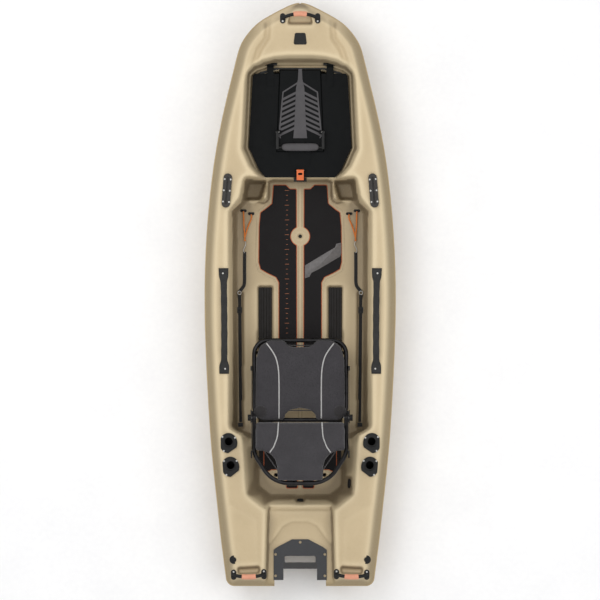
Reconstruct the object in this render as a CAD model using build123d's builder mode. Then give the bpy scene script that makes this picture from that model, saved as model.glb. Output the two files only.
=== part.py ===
"""A sit-on-top fishing kayak with a bow hatch, a framed folding seat on slide rails and a stern motor bracket.

Frame: +Y to the bow, +X to starboard, +Z up, origin under the middle of the hull at the keel plane. Millimetres.
The hull is two thermoformed shells that meet on a seam plane, which is trimmed up towards the bow.
"""

import os
from math import cos, radians, sin, tan

from build123d import *

os.makedirs("parts", exist_ok=True)

# ---------------------------------------------------------------- driving dimensions: the hull
hull_length = 3000
hull_beam = 978
wall = 5  # thickness of the thermoformed sheet
trim_angle = 1.3  # rise of the seam and of the deck towards the bow, degrees
seam_height = 262  # seam above the keel plane, amidships
deck_rise = 70  # deck plane above the seam plane
deck_edge_inset = 45  # the deck's outer band slopes inwards by this much
stern_corner = 40
seam_play = 0.3  # gap left between soft or moving pieces and what they rest on

half_length = hull_length / 2
half_beam = hull_beam / 2
bow = half_length
stern = -half_length
rise_per_mm = tan(radians(trim_angle))

# Half outline of the hull in plan, from the bow to the stern corner: share of the half beam, share of the half length.
outline_shares = [
    (0.164, 0.983),
    (0.321, 0.956),
    (0.448, 0.929),
    (0.532, 0.901),
    (0.616, 0.860),
    (0.669, 0.805),
    (0.763, 0.681),
    (0.869, 0.517),
    (0.953, 0.311),
    (1.000, 0.022),
    (0.973, -0.307),
    (0.922, -0.555),
    (0.869, -0.719),
    (0.812, -0.884),
    (0.775, -0.967),
]

# Hull waterlines from the keel plane to the seam: height, side inset, bow set-back, stern set-back, share of the trim.
waterlines = [
    (0, 150, 330, 60, 0.0),
    (45, 92, 215, 30, 0.15),
    (115, 48, 110, 12, 0.4),
    (190, 20, 42, 4, 0.7),
    (seam_height, 0, 0, 0, 1.0),
]

tunnel_half_width = 110
tunnel_depth = 34
tunnel_front = 640  # where the tunnel under the hull runs out, ahead of amidships

# ---------------------------------------------------------------- driving dimensions: the deck
platform_height = 130  # standing platform above the keel plane
rim_height = 215  # floor of the recess round the bow hatch
stern_platform_height = 245
scoop_depth = 26  # finger scoops under the bow and stern handles
well_top = 400  # cutters are drawn up to this height, above the whole deck

hatch_setback = 321  # front edge of the hatch lid behind the bow
hatch_length = 575
hatch_side_deck_front = 102  # side deck beside the lid at its front shoulder
hatch_side_deck_rear = 162  # side deck beside the lid at its rear shoulder
hatch_front_half = 127
hatch_rear_half = 180
tub_floor_height = 100
coaming_height = 14
coaming_width = 12
lid_skirt_gap = 4
hinge_room = 17  # extra recess ahead of the lid

cockpit_setback = 462  # rear edge of the cockpit floor ahead of the stern
foot_half = 167  # half width of the platform between the foot wells
floor_half = 333
aft_floor_half = 215
aft_rim_half = 297
foot_well_length = 130
foot_well_depth = 45
gunwale_slope = 34  # the cockpit wall leans out by this much over its height
channel_width = 38
channel_depth = 16
rail_slot_inner = 146
rail_slot_width = 70
rail_slot_depth = 16

notch_half = 133
notch_length = 238
ledge_width = 26
ledge_thickness = 5.5
scupper_radius = 10
scupper_spread = 125

deck_tilt = Vector(0, -sin(radians(trim_angle)), cos(radians(trim_angle)))


# ---------------------------------------------------------------- shared helpers
def half_breadth(y):
    """Half breadth of the hull outline at station y, by straight lines between the outline's points."""
    points = [(0.0, 1.0)] + outline_shares
    for (b0, y0), (b1, y1) in zip(points, points[1:]):
        if y1 * half_length <= y <= y0 * half_length:
            share = (y / half_length - y0) / (y1 - y0)
            return half_beam * (b0 + share * (b1 - b0))
    return half_beam * outline_shares[-1][0]


def trimmed_plane(height, share=1.0):
    """A plane at that height amidships, trimmed by that share of the trim angle."""
    tilt = radians(trim_angle * share)
    return Plane(origin=(0, 0, height), x_dir=(1, 0, 0), z_dir=(0, -sin(tilt), cos(tilt)))


deck_plane = trimmed_plane(seam_height + deck_rise)


def deck_height(y):
    return seam_height + deck_rise + y * rise_per_mm


def both_sides(half):
    """A closed outline from its starboard half, listed from bow to stern."""
    return half + [(-x, y) for x, y in reversed(half)]


def prism(points, bottom, top, grow=0.0):
    """A vertical prism of an outline, grown by so much all round and below."""
    with BuildPart() as solid:
        with BuildSketch(Plane.XY.offset(bottom - max(grow, 0))):
            with BuildLine():
                Polyline(*points, close=True)
            make_face()
            if grow:
                offset(amount=grow, kind=Kind.INTERSECTION)
        extrude(amount=top - bottom + max(grow, 0))
    return solid.part


def well(floor_points, rim_points, floor_height, grow=0.0):
    """A tapered well cutter from its floor outline up to its outline at well_top."""
    with BuildPart() as cutter:
        for points, height in ((floor_points, floor_height - grow), (rim_points, well_top)):
            with BuildSketch(Plane.XY.offset(height)):
                with BuildLine():
                    Polyline(*points, close=True)
                make_face()
                if grow:
                    offset(amount=grow, kind=Kind.INTERSECTION)
        loft(ruled=True)
    return cutter.part


def rounded_plate(plane, width, height, thickness, corner):
    """A plate with rounded corners that stands on a plane."""
    with BuildPart() as plate:
        with BuildSketch(plane):
            RectangleRounded(width, height, corner)
        extrude(amount=thickness)
    return plate.part


def tube_along(path, radius, bore=0.0):
    """A round tube swept along a wire, open at both ends if it has a bore."""
    with BuildPart() as tube:
        with BuildSketch(Plane(origin=path @ 0, z_dir=path % 0)):
            Circle(radius)
            if bore:
                Circle(bore, mode=Mode.SUBTRACT)
        sweep(path=path)
    return tube.part


def port_of(part):
    return mirror(part, about=Plane.YZ)


written = []


def save(part, name):
    """Writes one sub-part as STEP, under its node's name."""
    part.label = name
    export_step(part, f"parts/{name}.step")
    written.append(name)


def group(*parts):
    """Several separate solids as one sub-part."""
    solids = [solid for part in parts for solid in part.solids()]
    return Compound(children=solids)


def save_both(starboard, name):
    """A piece and its twin on the port side, as one sub-part of separate solids."""
    save(group(starboard, port_of(starboard)), name)


def save_pair(starboard, name):
    save(starboard, f"{name}_starboard")
    save(port_of(starboard), f"{name}_port")


# ---------------------------------------------------------------- hull body
def outline_section(plane, inset, bow_setback, stern_setback, shell):
    """The hull outline on a plane: narrowed at the sides, set back at bow and stern, then moved in by the shell."""
    nose = half_length - bow_setback - 2 * shell
    side = []
    for breadth, station in outline_shares[:-1]:
        y = station * half_length
        side.append((breadth * (half_beam - inset) - shell, station * nose if y > 0 else y))
    end = stern + stern_setback + shell
    corner_x = outline_shares[-1][0] * (half_beam - inset) - shell
    knuckle = (corner_x - stern_corner * (1 - sin(radians(45))), end + stern_corner * (1 - cos(radians(45))))
    starboard = [*side, (corner_x, end + stern_corner)]
    port = [(-x, y) for x, y in reversed(starboard)]
    with BuildSketch(plane) as section:
        with BuildLine():
            Spline(*port, (0, nose), *starboard, tangents=[(-0.12, 1), (-0.12, -1)])
            ThreePointArc((corner_x, end + stern_corner), knuckle, (corner_x - stern_corner, end))
            Line((corner_x - stern_corner, end), (stern_corner - corner_x, end))
            ThreePointArc((stern_corner - corner_x, end), (-knuckle[0], knuckle[1]), port[0])
        make_face()
    return section.sketch


def notch_outline():
    """The stern notch for the motor, from its front edge to past the stern."""
    front = stern + notch_length
    return both_sides([(45, front), (112, front - 42), (notch_half, front - 75), (notch_half, stern - 60)])


def tunnel_cutter(grow):
    """The shallow tunnel under the hull, which runs out towards the bow."""
    with BuildPart() as tunnel:
        for y, depth, half in ((stern - 20, tunnel_depth, tunnel_half_width), (tunnel_front, 1, 70)):
            with BuildSketch(Plane.XZ.offset(-y)):
                with BuildLine():
                    Polyline(
                        (-half - depth - grow, -1 - grow),
                        (half + depth + grow, -1 - grow),
                        (half + grow, depth + grow),
                        (-half - grow, depth + grow),
                        close=True,
                    )
                make_face()
        loft(ruled=True)
    return tunnel.part


def lower_body(shell):
    """The hull below the seam, moved in by shell for the cavity."""
    sections = []
    for height, inset, bow_setback, stern_setback, share in waterlines:
        plane = trimmed_plane(height + (shell if height == 0 else 0), share)
        sections.append(outline_section(plane, inset, bow_setback, stern_setback, shell))
    with BuildPart() as body:
        add(sections)
        loft()
        add(tunnel_cutter(shell), mode=Mode.SUBTRACT)
        add(prism(notch_outline(), -10, well_top, shell), mode=Mode.SUBTRACT)
    return body.part


def upper_body(shell):
    """The deck band from the seam up to the deck plane, moved in by shell for the cavity."""
    inset = deck_edge_inset
    sections = [
        outline_section(trimmed_plane(seam_height), 0, 0, 0, shell),
        outline_section(trimmed_plane(seam_height + deck_rise - shell), inset, inset, inset * 0.3, shell),
    ]
    with BuildPart() as body:
        add(sections)
        loft(ruled=True)
        add(prism(notch_outline(), -10, well_top, shell), mode=Mode.SUBTRACT)
    return body.part


# ---------------------------------------------------------------- wells of the deck
hatch_front = bow - hatch_setback
hatch_rear = hatch_front - hatch_length
shoulder_front = hatch_front - 52
shoulder_rear = hatch_rear + 155
hatch_shoulder_front = half_breadth(shoulder_front) - hatch_side_deck_front
hatch_shoulder_rear = half_breadth(shoulder_rear) - hatch_side_deck_rear
cockpit_front = hatch_rear - 17
cockpit_rear = stern + cockpit_setback
foot_well_front = cockpit_front + 18
foot_well_rear = foot_well_front - foot_well_length


def hatch_outline(grow=0.0):
    """The outline of the bow hatch lid, grown by so much."""
    return both_sides(
        [
            (hatch_front_half + grow * 0.6, hatch_front + grow),
            (hatch_shoulder_front - 30 + grow, shoulder_front + 30 + grow),
            (hatch_shoulder_front + grow, shoulder_front),
            (hatch_shoulder_rear + grow, shoulder_rear),
            (hatch_rear_half + 34 + grow, hatch_rear + 42 - grow * 0.6),
            (hatch_rear_half + grow * 0.4, hatch_rear - grow),
        ]
    )


def hatch_recess_outline(grow):
    """The outline of the recess round the hatch, with more room ahead of the lid for its hinges."""
    return [(x, y + (hinge_room if y > shoulder_front + 10 else 0)) for x, y in hatch_outline(grow)]


def up_to_top(floor, edge, floor_height):
    """Carries a well's sloped walls past their edge on the deck, up to well_top."""
    points = []
    for (floor_x, floor_y), (edge_x, edge_y) in zip(floor, edge):
        reach = (well_top - floor_height) / (deck_height(edge_y) - floor_height)
        points.append((floor_x + (edge_x - floor_x) * reach, floor_y + (edge_y - floor_y) * reach))
    return points


def cockpit_floor():
    return both_sides(
        [
            (foot_half, cockpit_front),
            (foot_half, foot_well_rear + 2),
            (floor_half - 48, foot_well_rear + 2),
            (floor_half, foot_well_rear - 50),
            (floor_half, cockpit_rear + 333),
            (aft_floor_half, cockpit_rear + 300),
            (aft_floor_half, cockpit_rear + 50),
            (154, cockpit_rear),
        ]
    )


def cockpit_edge():
    """The cockpit's edge where its walls meet the deck."""
    return both_sides(
        [
            (foot_half + 8, cockpit_front + 10),
            (foot_half + 8, foot_well_rear + 2),
            (floor_half - 33, foot_well_rear + 35),
            (floor_half + gunwale_slope, foot_well_rear - 45),
            (floor_half + gunwale_slope, cockpit_rear + 345),
            (aft_rim_half, cockpit_rear + 318),
            (aft_rim_half - 18, cockpit_rear + 5),
            (aft_floor_half - 30, cockpit_rear - 68),
        ]
    )


def foot_well_points(lean):
    """One foot well, from its front to its rear, starboard side."""
    return [
        (foot_half + 14 - lean * 0.1, foot_well_front - 26 + lean),
        (foot_half + 100 + lean * 0.9, foot_well_front - 26 + lean),
        (foot_half + 120 + lean * 0.9, foot_well_rear + 20 - lean * 0.2),
        (foot_half + 40 - lean * 0.1, foot_well_rear + 20 - lean * 0.2),
    ]


def channel_points():
    """The strap channel beside the floor, starboard side, along the cockpit wall."""
    return [
        (floor_half - channel_width, 10),
        (floor_half, 10),
        (floor_half, cockpit_rear + 345),
        (floor_half - channel_width, cockpit_rear + 345),
    ]


rail_front = 38  # front end of the seat rail slot, ahead of amidships
rail_rear = cockpit_rear + 150


def rail_slot_points():
    outer = rail_slot_inner + rail_slot_width
    return [(rail_slot_inner, rail_front), (outer, rail_front), (outer, rail_rear), (rail_slot_inner, rail_rear)]


stern_shelf_front = cockpit_rear - 60


def stern_shelf_points(grow):
    return both_sides(
        [
            (158 + grow, stern_shelf_front),
            (170 + grow, stern - 60),
        ]
    )


def bow_scoop_points():
    """The finger scoop under the bow handle."""
    return both_sides([(50, bow - 56), (64, bow - 106)])


def stern_scoop_points():
    """The finger scoop ahead of the starboard stern handle's grip."""
    return [(208, stern + 98), (322, stern + 92), (318, stern + 58), (212, stern + 62)]


def wells(grow):
    """Everything that is sunk into the deck, as one cutter. Grown by the wall it is the outside of the liner."""
    tub_rim = hatch_outline(-4 - lid_skirt_gap - coaming_width)
    tub_floor = hatch_outline(-4 - lid_skirt_gap - coaming_width - 18)
    with BuildPart() as cut:
        add(well(hatch_recess_outline(24), hatch_recess_outline(44), rim_height, grow))
        add(well(tub_floor, tub_rim, tub_floor_height, grow))
        cockpit_top = up_to_top(cockpit_floor(), cockpit_edge(), platform_height)
        add(well(cockpit_floor(), cockpit_top, platform_height, grow))
        add(well(stern_shelf_points(0), stern_shelf_points(14), stern_platform_height, grow))
        add(prism(bow_scoop_points(), deck_height(bow - 80) - scoop_depth, well_top, grow))
        for side in (1, -1):
            sides = []
            stern_scoop = [(side * x, y) for x, y in stern_scoop_points()]
            sides.append(prism(stern_scoop, deck_height(stern + 80) - scoop_depth, well_top, grow))
            for points, height in (
                (channel_points(), platform_height - channel_depth),
                (rail_slot_points(), platform_height - rail_slot_depth),
            ):
                sides.append(prism([(side * x, y) for x, y in points], height, platform_height + 60, grow))
            floor = [(side * x, y) for x, y in foot_well_points(0)]
            rim = [(side * x, y) for x, y in foot_well_points(40)]
            sides.append(well(floor, rim, platform_height - foot_well_depth, grow))
            for piece in sides:
                add(piece)
    return cut.part


# ---------------------------------------------------------------- the two shells
def scuppers(radius, bottom, top):
    """The self-bailing drains through the rear of the floor."""
    with BuildPart() as drains:
        for side in (1, -1):
            with BuildSketch(Plane.XY.offset(bottom)):
                with Locations((side * scupper_spread, scupper_y)):
                    Circle(radius)
            extrude(amount=top - bottom)
    return drains.part


def ledge():
    """The ledge round the stern notch, below the deck, that the motor bracket is bolted to."""
    bottom = bracket_height - ledge_thickness
    with BuildPart() as shelf:
        add(prism(notch_outline(), bottom + wall, bracket_height, wall))
        add(prism(notch_outline(), bottom, bracket_height + 1, -ledge_width), mode=Mode.SUBTRACT)
        with Locations((0, stern + ledge_end - 100, bottom)):
            Box(2 * half_beam, 200, 60, mode=Mode.SUBTRACT)
    return shelf.part


def deck_bore(x, y, radius):
    """An upright cutter through the deck skin only."""
    with BuildPart() as bore:
        with BuildSketch(Plane.XY.offset(deck_height(y) - 30)):
            with Locations((x, y)):
                Circle(radius)
        extrude(amount=60)
    return bore.part


def deck_at(x, y, turn=0.0, lift=0.0):
    """A plane on the deck at that place, turned about the deck's normal and lifted off it."""
    place = Location((x, y / cos(radians(trim_angle)), lift), (0, 0, turn))
    return Plane(deck_plane.location * place)


bracket_height = stern_platform_height  # underside of the motor bracket
ledge_end = 28  # the ledge stops this far ahead of the stern
scupper_y = cockpit_rear + 106
rod_holder_inset = 86  # from the hull's side
rod_holder_stations = [(cockpit_rear + 277, 0), (cockpit_rear + 155, -4)]  # along, extra turn of the flange
rod_holders = [(half_breadth(y) - rod_holder_inset, y, turn) for y, turn in rod_holder_stations]
rod_holder_opening = 33
plug_place = (half_breadth(stern + 134) - 49, stern + 134)
plug_radius = 13
plug_bush_radius = 17

with BuildPart() as hull_shell:
    add(lower_body(0))
    add(lower_body(wall), mode=Mode.SUBTRACT)
    add(scuppers(scupper_radius + wall, -5, platform_height - wall))
    add(lower_body(0), mode=Mode.INTERSECT)
    add(scuppers(scupper_radius, -5, platform_height), mode=Mode.SUBTRACT)
save(hull_shell.part, "hull_shell")

with BuildPart() as liner:
    add(wells(wall))
    with BuildPart(mode=Mode.INTERSECT):
        add(upper_body(wall))
        add(lower_body(wall))

with BuildPart() as deck_shell:
    add(upper_body(0))
    add(upper_body(wall), mode=Mode.SUBTRACT)
    add(liner.part)
    add(wells(0), mode=Mode.SUBTRACT)
    # the upstand round the storage tub under the hatch lid
    coaming_outer = hatch_outline(-4 - lid_skirt_gap)
    coaming_inner = hatch_outline(-4 - lid_skirt_gap - coaming_width)
    add(prism(coaming_outer, rim_height - 1, rim_height + coaming_height))
    add(prism(coaming_inner, rim_height - 10, rim_height + coaming_height + 1), mode=Mode.SUBTRACT)
    # the ledge that carries the motor bracket
    add(ledge())
    # openings through the deck skin for the fittings that pass it
    for x, y, turn in rod_holders:
        for side in (1, -1):
            add(deck_bore(side * x, y, rod_holder_opening), mode=Mode.SUBTRACT)
    for side in (1, -1):
        add(deck_bore(side * plug_place[0], plug_place[1], plug_bush_radius + seam_play), mode=Mode.SUBTRACT)
    add(scuppers(scupper_radius, 100, platform_height + 5), mode=Mode.SUBTRACT)

# The deck is one moulding. It is written as four solids that meet face to face, so that the
# collision pieces of each can leave its wells open.
deck_cut_fore = hatch_rear + 11
deck_cut_aft = cockpit_rear - 32
for name, sides, stations in [
    ("deck_bow", (-hull_beam, hull_beam), (deck_cut_fore, hull_length)),
    ("deck_starboard", (0, hull_beam), (deck_cut_aft, deck_cut_fore)),
    ("deck_port", (-hull_beam, 0), (deck_cut_aft, deck_cut_fore)),
    ("deck_stern", (-hull_beam, hull_beam), (-hull_length, deck_cut_aft)),
]:
    with BuildPart() as deck_length:
        add(deck_shell.part)
        with Locations(((sides[0] + sides[1]) / 2, (stations[0] + stations[1]) / 2, seam_height)):
            Box(sides[1] - sides[0], stations[1] - stations[0], hull_beam, mode=Mode.INTERSECT)
    save(deck_length.part, name)


# ---------------------------------------------------------------- small fittings used all over the deck
screw_head_radius = 4.5
screw_head_height = 2.2
screw_shank_radius = 2.2
screw_hole_radius = 2.4
strap_grip_thickness = 5


def plane_on(base, x, y, lift=0.0, turn=0.0):
    """A plane moved and turned within another."""
    return Plane(base.location * Location((x, y, lift), (0, 0, turn)))


def deck_screw(base, thickness):
    """A pan-head screw that stands on a plate of that thickness, its shank down to the plane."""
    with BuildPart() as screw:
        with BuildSketch(base):
            Circle(screw_shank_radius)
        extrude(amount=thickness)
        with BuildSketch(plane_on(base, 0, 0, thickness)):
            Circle(screw_head_radius)
        extrude(amount=screw_head_height)
        with BuildSketch(plane_on(base, 0, 0, thickness + screw_head_height)):
            Rectangle(5, 1.1)
            Rectangle(1.1, 5)
        extrude(amount=-1.2, mode=Mode.SUBTRACT)
    return screw.part


def drill(base, places, thickness, radius=screw_hole_radius):
    """Screw holes through a plate that stands on a plane."""
    with BuildPart() as holes:
        for x, y in places:
            with BuildSketch(plane_on(base, x, y, -1)):
                Circle(radius)
            extrude(amount=thickness + 2)
    return holes.part


deck_screws = []

# ---------------------------------------------------------------- bow and stern carry handles
handle_radius = 9
grip_radius = 13.5
grip_fit = 0.15
handle_lift = 20
foot_radius = 14
foot_thickness = 5


def carry_handle(base, half_span, sag, grip_half):
    """A bowed carry handle on two screwed feet: bar with its feet, and the grip sleeve round its middle."""
    knee = half_span * 0.78
    with BuildPart() as bar:
        with BuildLine(base) as path:
            Spline(
                (-half_span, 0, foot_thickness),
                (-knee, -sag * 0.45, handle_lift),
                (0, -sag, handle_lift),
                (knee, -sag * 0.45, handle_lift),
                (half_span, 0, foot_thickness),
            )
        add(tube_along(path.wires()[0], handle_radius))
        for x in (-half_span, half_span):
            with BuildSketch(plane_on(base, x, 0)):
                SlotCenterPoint((0, 0), (0, foot_radius * 0.9), 2 * foot_radius)
            extrude(amount=foot_thickness)
        with BuildSketch(base):
            Rectangle(3 * half_span, 4 * half_span)
        extrude(amount=-40, mode=Mode.SUBTRACT)
        seats = [(-half_span, foot_radius * 1.05), (half_span, foot_radius * 1.05)]
        add(drill(base, seats, foot_thickness), mode=Mode.SUBTRACT)
    with BuildPart() as grip:
        with BuildLine(base) as middle:
            arc_drop = sag * 0.12 * (grip_half / knee) ** 2 * 4
            ThreePointArc(
                (-grip_half, arc_drop - sag, handle_lift), (0, -sag, handle_lift), (grip_half, arc_drop - sag, handle_lift)
            )
        add(tube_along(middle.wires()[0], grip_radius))
        add(tube_along(path.wires()[0], handle_radius + grip_fit), mode=Mode.SUBTRACT)
    for x, y in seats:
        deck_screws.append(deck_screw(plane_on(base, x, y), foot_thickness))
    return bar.part, max(grip.solids(), key=lambda solid: solid.volume)


bow_handle_half_span = 90
bow_bar, bow_sleeve = carry_handle(deck_at(0, bow - 78, 180), bow_handle_half_span, 24, 34)
save(bow_bar, "bow_handle")
save(bow_sleeve, "bow_grip")

stern_bar, stern_sleeve = carry_handle(deck_at(265, stern + 58, -1), 78, 12, 36)
save_both(stern_bar, "stern_handles")
save_both(stern_sleeve, "stern_grips")
deck_screws += [port_of(screw) for screw in deck_screws[-2:]]

# ---------------------------------------------------------------- side carry handles
strap_centre = (half_breadth(-136) - 92, -136)
strap_turn = -1.3
strap_half_span = 272
strap_lift = 26
strap_width = 28
pad_width = 49
pad_length = 52

with BuildPart() as carry_strap:
    strap_base = deck_at(*strap_centre, strap_turn)
    with BuildSketch(Plane(strap_base.origin, x_dir=strap_base.y_dir, z_dir=strap_base.x_dir)):
        with BuildLine():
            rise = strap_half_span - pad_length
            Spline((-rise, 5), (-rise * 0.6, strap_lift), (0, strap_lift + 6), (rise * 0.6, strap_lift), (rise, 5))
            Spline((-rise, 0), (-rise * 0.6, strap_lift - 5), (0, strap_lift + 1), (rise * 0.6, strap_lift - 5), (rise, 0))
            Line((-rise, 5), (-rise, 0))
            Line((rise, 5), (rise, 0))
        make_face()
    extrude(amount=strap_width / 2, both=True)
    for end in (-1, 1):
        pad_at = plane_on(strap_base, 0, end * (strap_half_span - pad_length / 2))
        add(rounded_plate(pad_at, pad_width, pad_length, 6, 12))
        add(drill(pad_at, [(0, 0)], 6), mode=Mode.SUBTRACT)
save_both(carry_strap.part, "carry_straps")
for end in (-1, 1):
    screw = deck_screw(plane_on(strap_base, 0, end * (strap_half_span - pad_length / 2)), 6)
    deck_screws += [screw, port_of(screw)]

# ---------------------------------------------------------------- gear tracks
track_place = (half_breadth(536) - 79, 536, 4.4)
track_length = 176
track_width = 44
track_height = 12
track_slot = 9
track_channel = 18

with BuildPart() as gear_track:
    track_base = deck_at(*track_place)
    with BuildSketch(track_base):
        SlotOverall(track_length, track_width, rotation=90)
    extrude(amount=track_height)
    with BuildSketch(plane_on(track_base, 0, 0, track_height)):
        Rectangle(track_slot, track_length - 36)
    extrude(amount=-track_height + 3, mode=Mode.SUBTRACT)
    with BuildSketch(plane_on(track_base, 0, 0, track_height - 3)):
        Rectangle(track_channel, track_length - 36)
    extrude(amount=-track_height + 6, mode=Mode.SUBTRACT)
    track_holes = [(x, y) for x in (-15.5, 15.5) for y in (-58, 0, 58)]
    add(drill(track_base, track_holes, track_height), mode=Mode.SUBTRACT)
for hole in track_holes:
    screw = deck_screw(plane_on(track_base, *hole), track_height)
    deck_screws += [screw, port_of(screw)]
save_pair(gear_track.part, "gear_track")

# ---------------------------------------------------------------- flush rod holders
holder_bore = 21
holder_tube = 25
holder_depth = 150
holder_rake = 25
holder_lean = 8
holder_flange = 52
flange_thickness = 6


def rod_holder(x, y, turn):
    """A flush holder: an oval flange with a raised lip and a tube raked towards the stern."""
    base = deck_at(x, y, turn)
    tube_plane = Plane(base.location * Location((0, 0, 0), (-holder_rake, -holder_lean, 0)))
    with BuildPart() as holder:
        with BuildSketch(base):
            with Locations((0, -4)):
                Ellipse(holder_flange - 6, holder_flange)
            with BuildLine():
                Polyline((-60, 60), (40, 60), (40, -60), (8, -60), (-60, -14), close=True)
            make_face(mode=Mode.INTERSECT)
        extrude(amount=flange_thickness)
        with BuildSketch(tube_plane.offset(-holder_depth)):
            Circle(holder_tube)
        extrude(amount=holder_depth + 12)
        with BuildSketch(plane_on(base, 0, 0, flange_thickness + 8)):
            Rectangle(200, 200)
        extrude(amount=60, mode=Mode.SUBTRACT)
        with BuildSketch(tube_plane.offset(-holder_depth + 4)):
            Circle(holder_bore)
        extrude(amount=holder_depth + 60, mode=Mode.SUBTRACT)
        seats = [(31, 28), (-34, 24), (24, -44)]
        add(drill(base, seats, flange_thickness + 10), mode=Mode.SUBTRACT)
    for seat in seats:
        rod_screw = deck_screw(plane_on(base, *seat), flange_thickness)
        deck_screws.extend([rod_screw, port_of(rod_screw)])
    return holder.part


for place, name in zip(rod_holders, ("rod_holder_fore", "rod_holder_aft")):
    save_pair(rod_holder(*place), name)

# ---------------------------------------------------------------- drain plugs
plug_base = deck_at(*plug_place)
plug_fit = 0.06
with BuildPart() as plug_bush:
    with BuildSketch(plug_base.offset(-wall - 3)):
        Circle(plug_bush_radius)
        Circle(plug_radius + plug_fit - 3, mode=Mode.SUBTRACT)
    extrude(amount=wall + 3)
    with BuildSketch(plug_base):
        Circle(plug_bush_radius + 5)
        Circle(plug_radius + plug_fit - 3, mode=Mode.SUBTRACT)
    extrude(amount=2)
save_both(plug_bush.part, "plug_bushes")

with BuildPart() as drain_plug:
    with BuildSketch(plug_base.offset(-wall)):
        Circle(plug_radius - 3)
    extrude(amount=wall + 2 + seam_play)
    with BuildSketch(plug_base.offset(2 + seam_play)):
        Circle(plug_radius)
    extrude(amount=5)
    with BuildSketch(plane_on(plug_base, 0, 0, 7 + seam_play, 28)):
        with Locations((2, 0)):
            SlotOverall(24, 6)
    extrude(amount=7)
save_pair(drain_plug.part, "drain_plug")

# ---------------------------------------------------------------- bow badge and grommets
with BuildPart() as badge_plate:
    with BuildSketch(deck_at(0, bow - 183)):
        Trapezoid(69, 60, 97, rotation=180)
        fillet(badge_plate.pending_faces[0].vertices() if badge_plate.pending_faces else vertices(), 9)
    extrude(amount=2.5)
save(badge_plate.part, "badge_plate")

# ---------------------------------------------------------------- standing mats
mat_base = 3
mat_top = 5
mat_edge = 3.5
hub_y = 301
hub_clearance = 48
mat_rear = -560

mat_outline = [
    (18, 547), (52, 547), (73, 568), (140, 568), (147, 471), (185, 440), (207, 425), (214, 350),
    (216, 167), (206, 130), (168, 108), (126, 88), (112, 62), (112, mat_rear), (15, mat_rear),
]
aft_mat_outline = [
    (15, -700), (190, -700), (189, -918), (158, -912), (149, -906), (104, -906), (95, -902), (70, -893), (15, -893),
]
aft_pad_outline = [(12, -950), (73, -950), (73, -1002), (12, -1002)]


def mat_layers(points, corner, hub=False):
    """A two-layer foam mat on the floor: a coloured base that shows as a thin edge round a dark top."""
    layers = []
    for bottom, thickness, inset in ((0, mat_base, 0), (mat_base, mat_top, mat_edge)):
        with BuildPart() as layer:
            with BuildSketch(Plane.XY.offset(platform_height + bottom)):
                with BuildLine():
                    Polyline(*points, close=True)
                make_face()
                fillet(vertices(), corner)
                if inset:
                    offset(amount=-inset)
                if hub:
                    with Locations((0, hub_y)):
                        Circle(hub_clearance + inset, mode=Mode.SUBTRACT)
            extrude(amount=thickness)
        layers.append(layer.part)
    return layers


for points, corner, hub, name in (
    (mat_outline, 8, True, "mat"),
    (aft_mat_outline, 3, False, "aft_mat"),
    (aft_pad_outline, 8, False, "aft_pad"),
):
    base_layer, top_layer = mat_layers(points, corner, hub)
    save_both(base_layer, f"{name}_bases")
    save_both(top_layer, f"{name}_tops")

# ---------------------------------------------------------------- seat rails in the floor
rail_base = 4
rail_rib = 4
rail_rib_height = 12
skid_width = 30
skid_play = 0.3
rail_centre = rail_slot_inner + rail_slot_width / 2
rail_floor = platform_height - rail_slot_depth

with BuildPart() as seat_rail:
    with BuildSketch(Plane.XZ.offset(-rail_front)):
        with Locations((rail_centre, rail_floor + rail_base / 2)):
            Rectangle(rail_slot_width, rail_base)
        rib_spread = skid_width / 2 + skid_play + rail_rib / 2
        for x in (-rib_spread, rib_spread, rail_rib / 2 - rail_slot_width / 2, rail_slot_width / 2 - rail_rib / 2):
            with Locations((rail_centre + x, rail_floor + rail_rib_height / 2)):
                Rectangle(rail_rib, rail_rib_height)
    extrude(amount=rail_front - rail_rear)
save_both(seat_rail.part, "seat_rails")

# ---------------------------------------------------------------- bow hatch
lid_seat = rim_height + coaming_height
gasket_height = 4
lid_bottom = lid_seat + gasket_height
lid_thickness = 6
lid_top = lid_bottom + lid_thickness
hump_height = 10
hinge_axis_y = hatch_front + 9
hinge_axis_z = lid_top + 12
hinge_spread = 154
hinge_pin_radius = 4
hinge_fit = 0.05
knuckle_radius = 9
hinge_strap_width = 35
grille_thickness = 3
bail_axis = (hatch_front - 341, lid_top + hump_height + 16)  # along, height
bail_pin_radius = 4
bail_arm = 14
bail_reach = 80
bail_half_span = 111
latch_axis = (hatch_rear + 36, lid_top + 9)
latch_width = 37
latch_pin_radius = 3


def hatch_ring(outer, inner, bottom, top):
    """A band that follows the lid's outline between two insets."""
    with BuildPart() as ring:
        add(prism(hatch_outline(outer), bottom, top))
        add(prism(hatch_outline(inner), bottom - 1, top + 1), mode=Mode.SUBTRACT)
    return ring.part


save(hatch_ring(-4 - lid_skirt_gap - 1, -4 - lid_skirt_gap - coaming_width + 1, lid_seat, lid_bottom), "hatch_gasket")


def hump_points(inset):
    return both_sides([(108 - inset, hatch_front - 18 - inset), (124 - inset, hatch_rear + 130 + inset)])


grille_half = [(11, hatch_front - 14), (18, hatch_front - 104), (103, hatch_front - 149), (120, hatch_front - 320)]
grille_outline = both_sides(grille_half + [(100, hatch_front - 378), (34, hatch_front - 380)])
grille_lift = lid_top + hump_height

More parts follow.
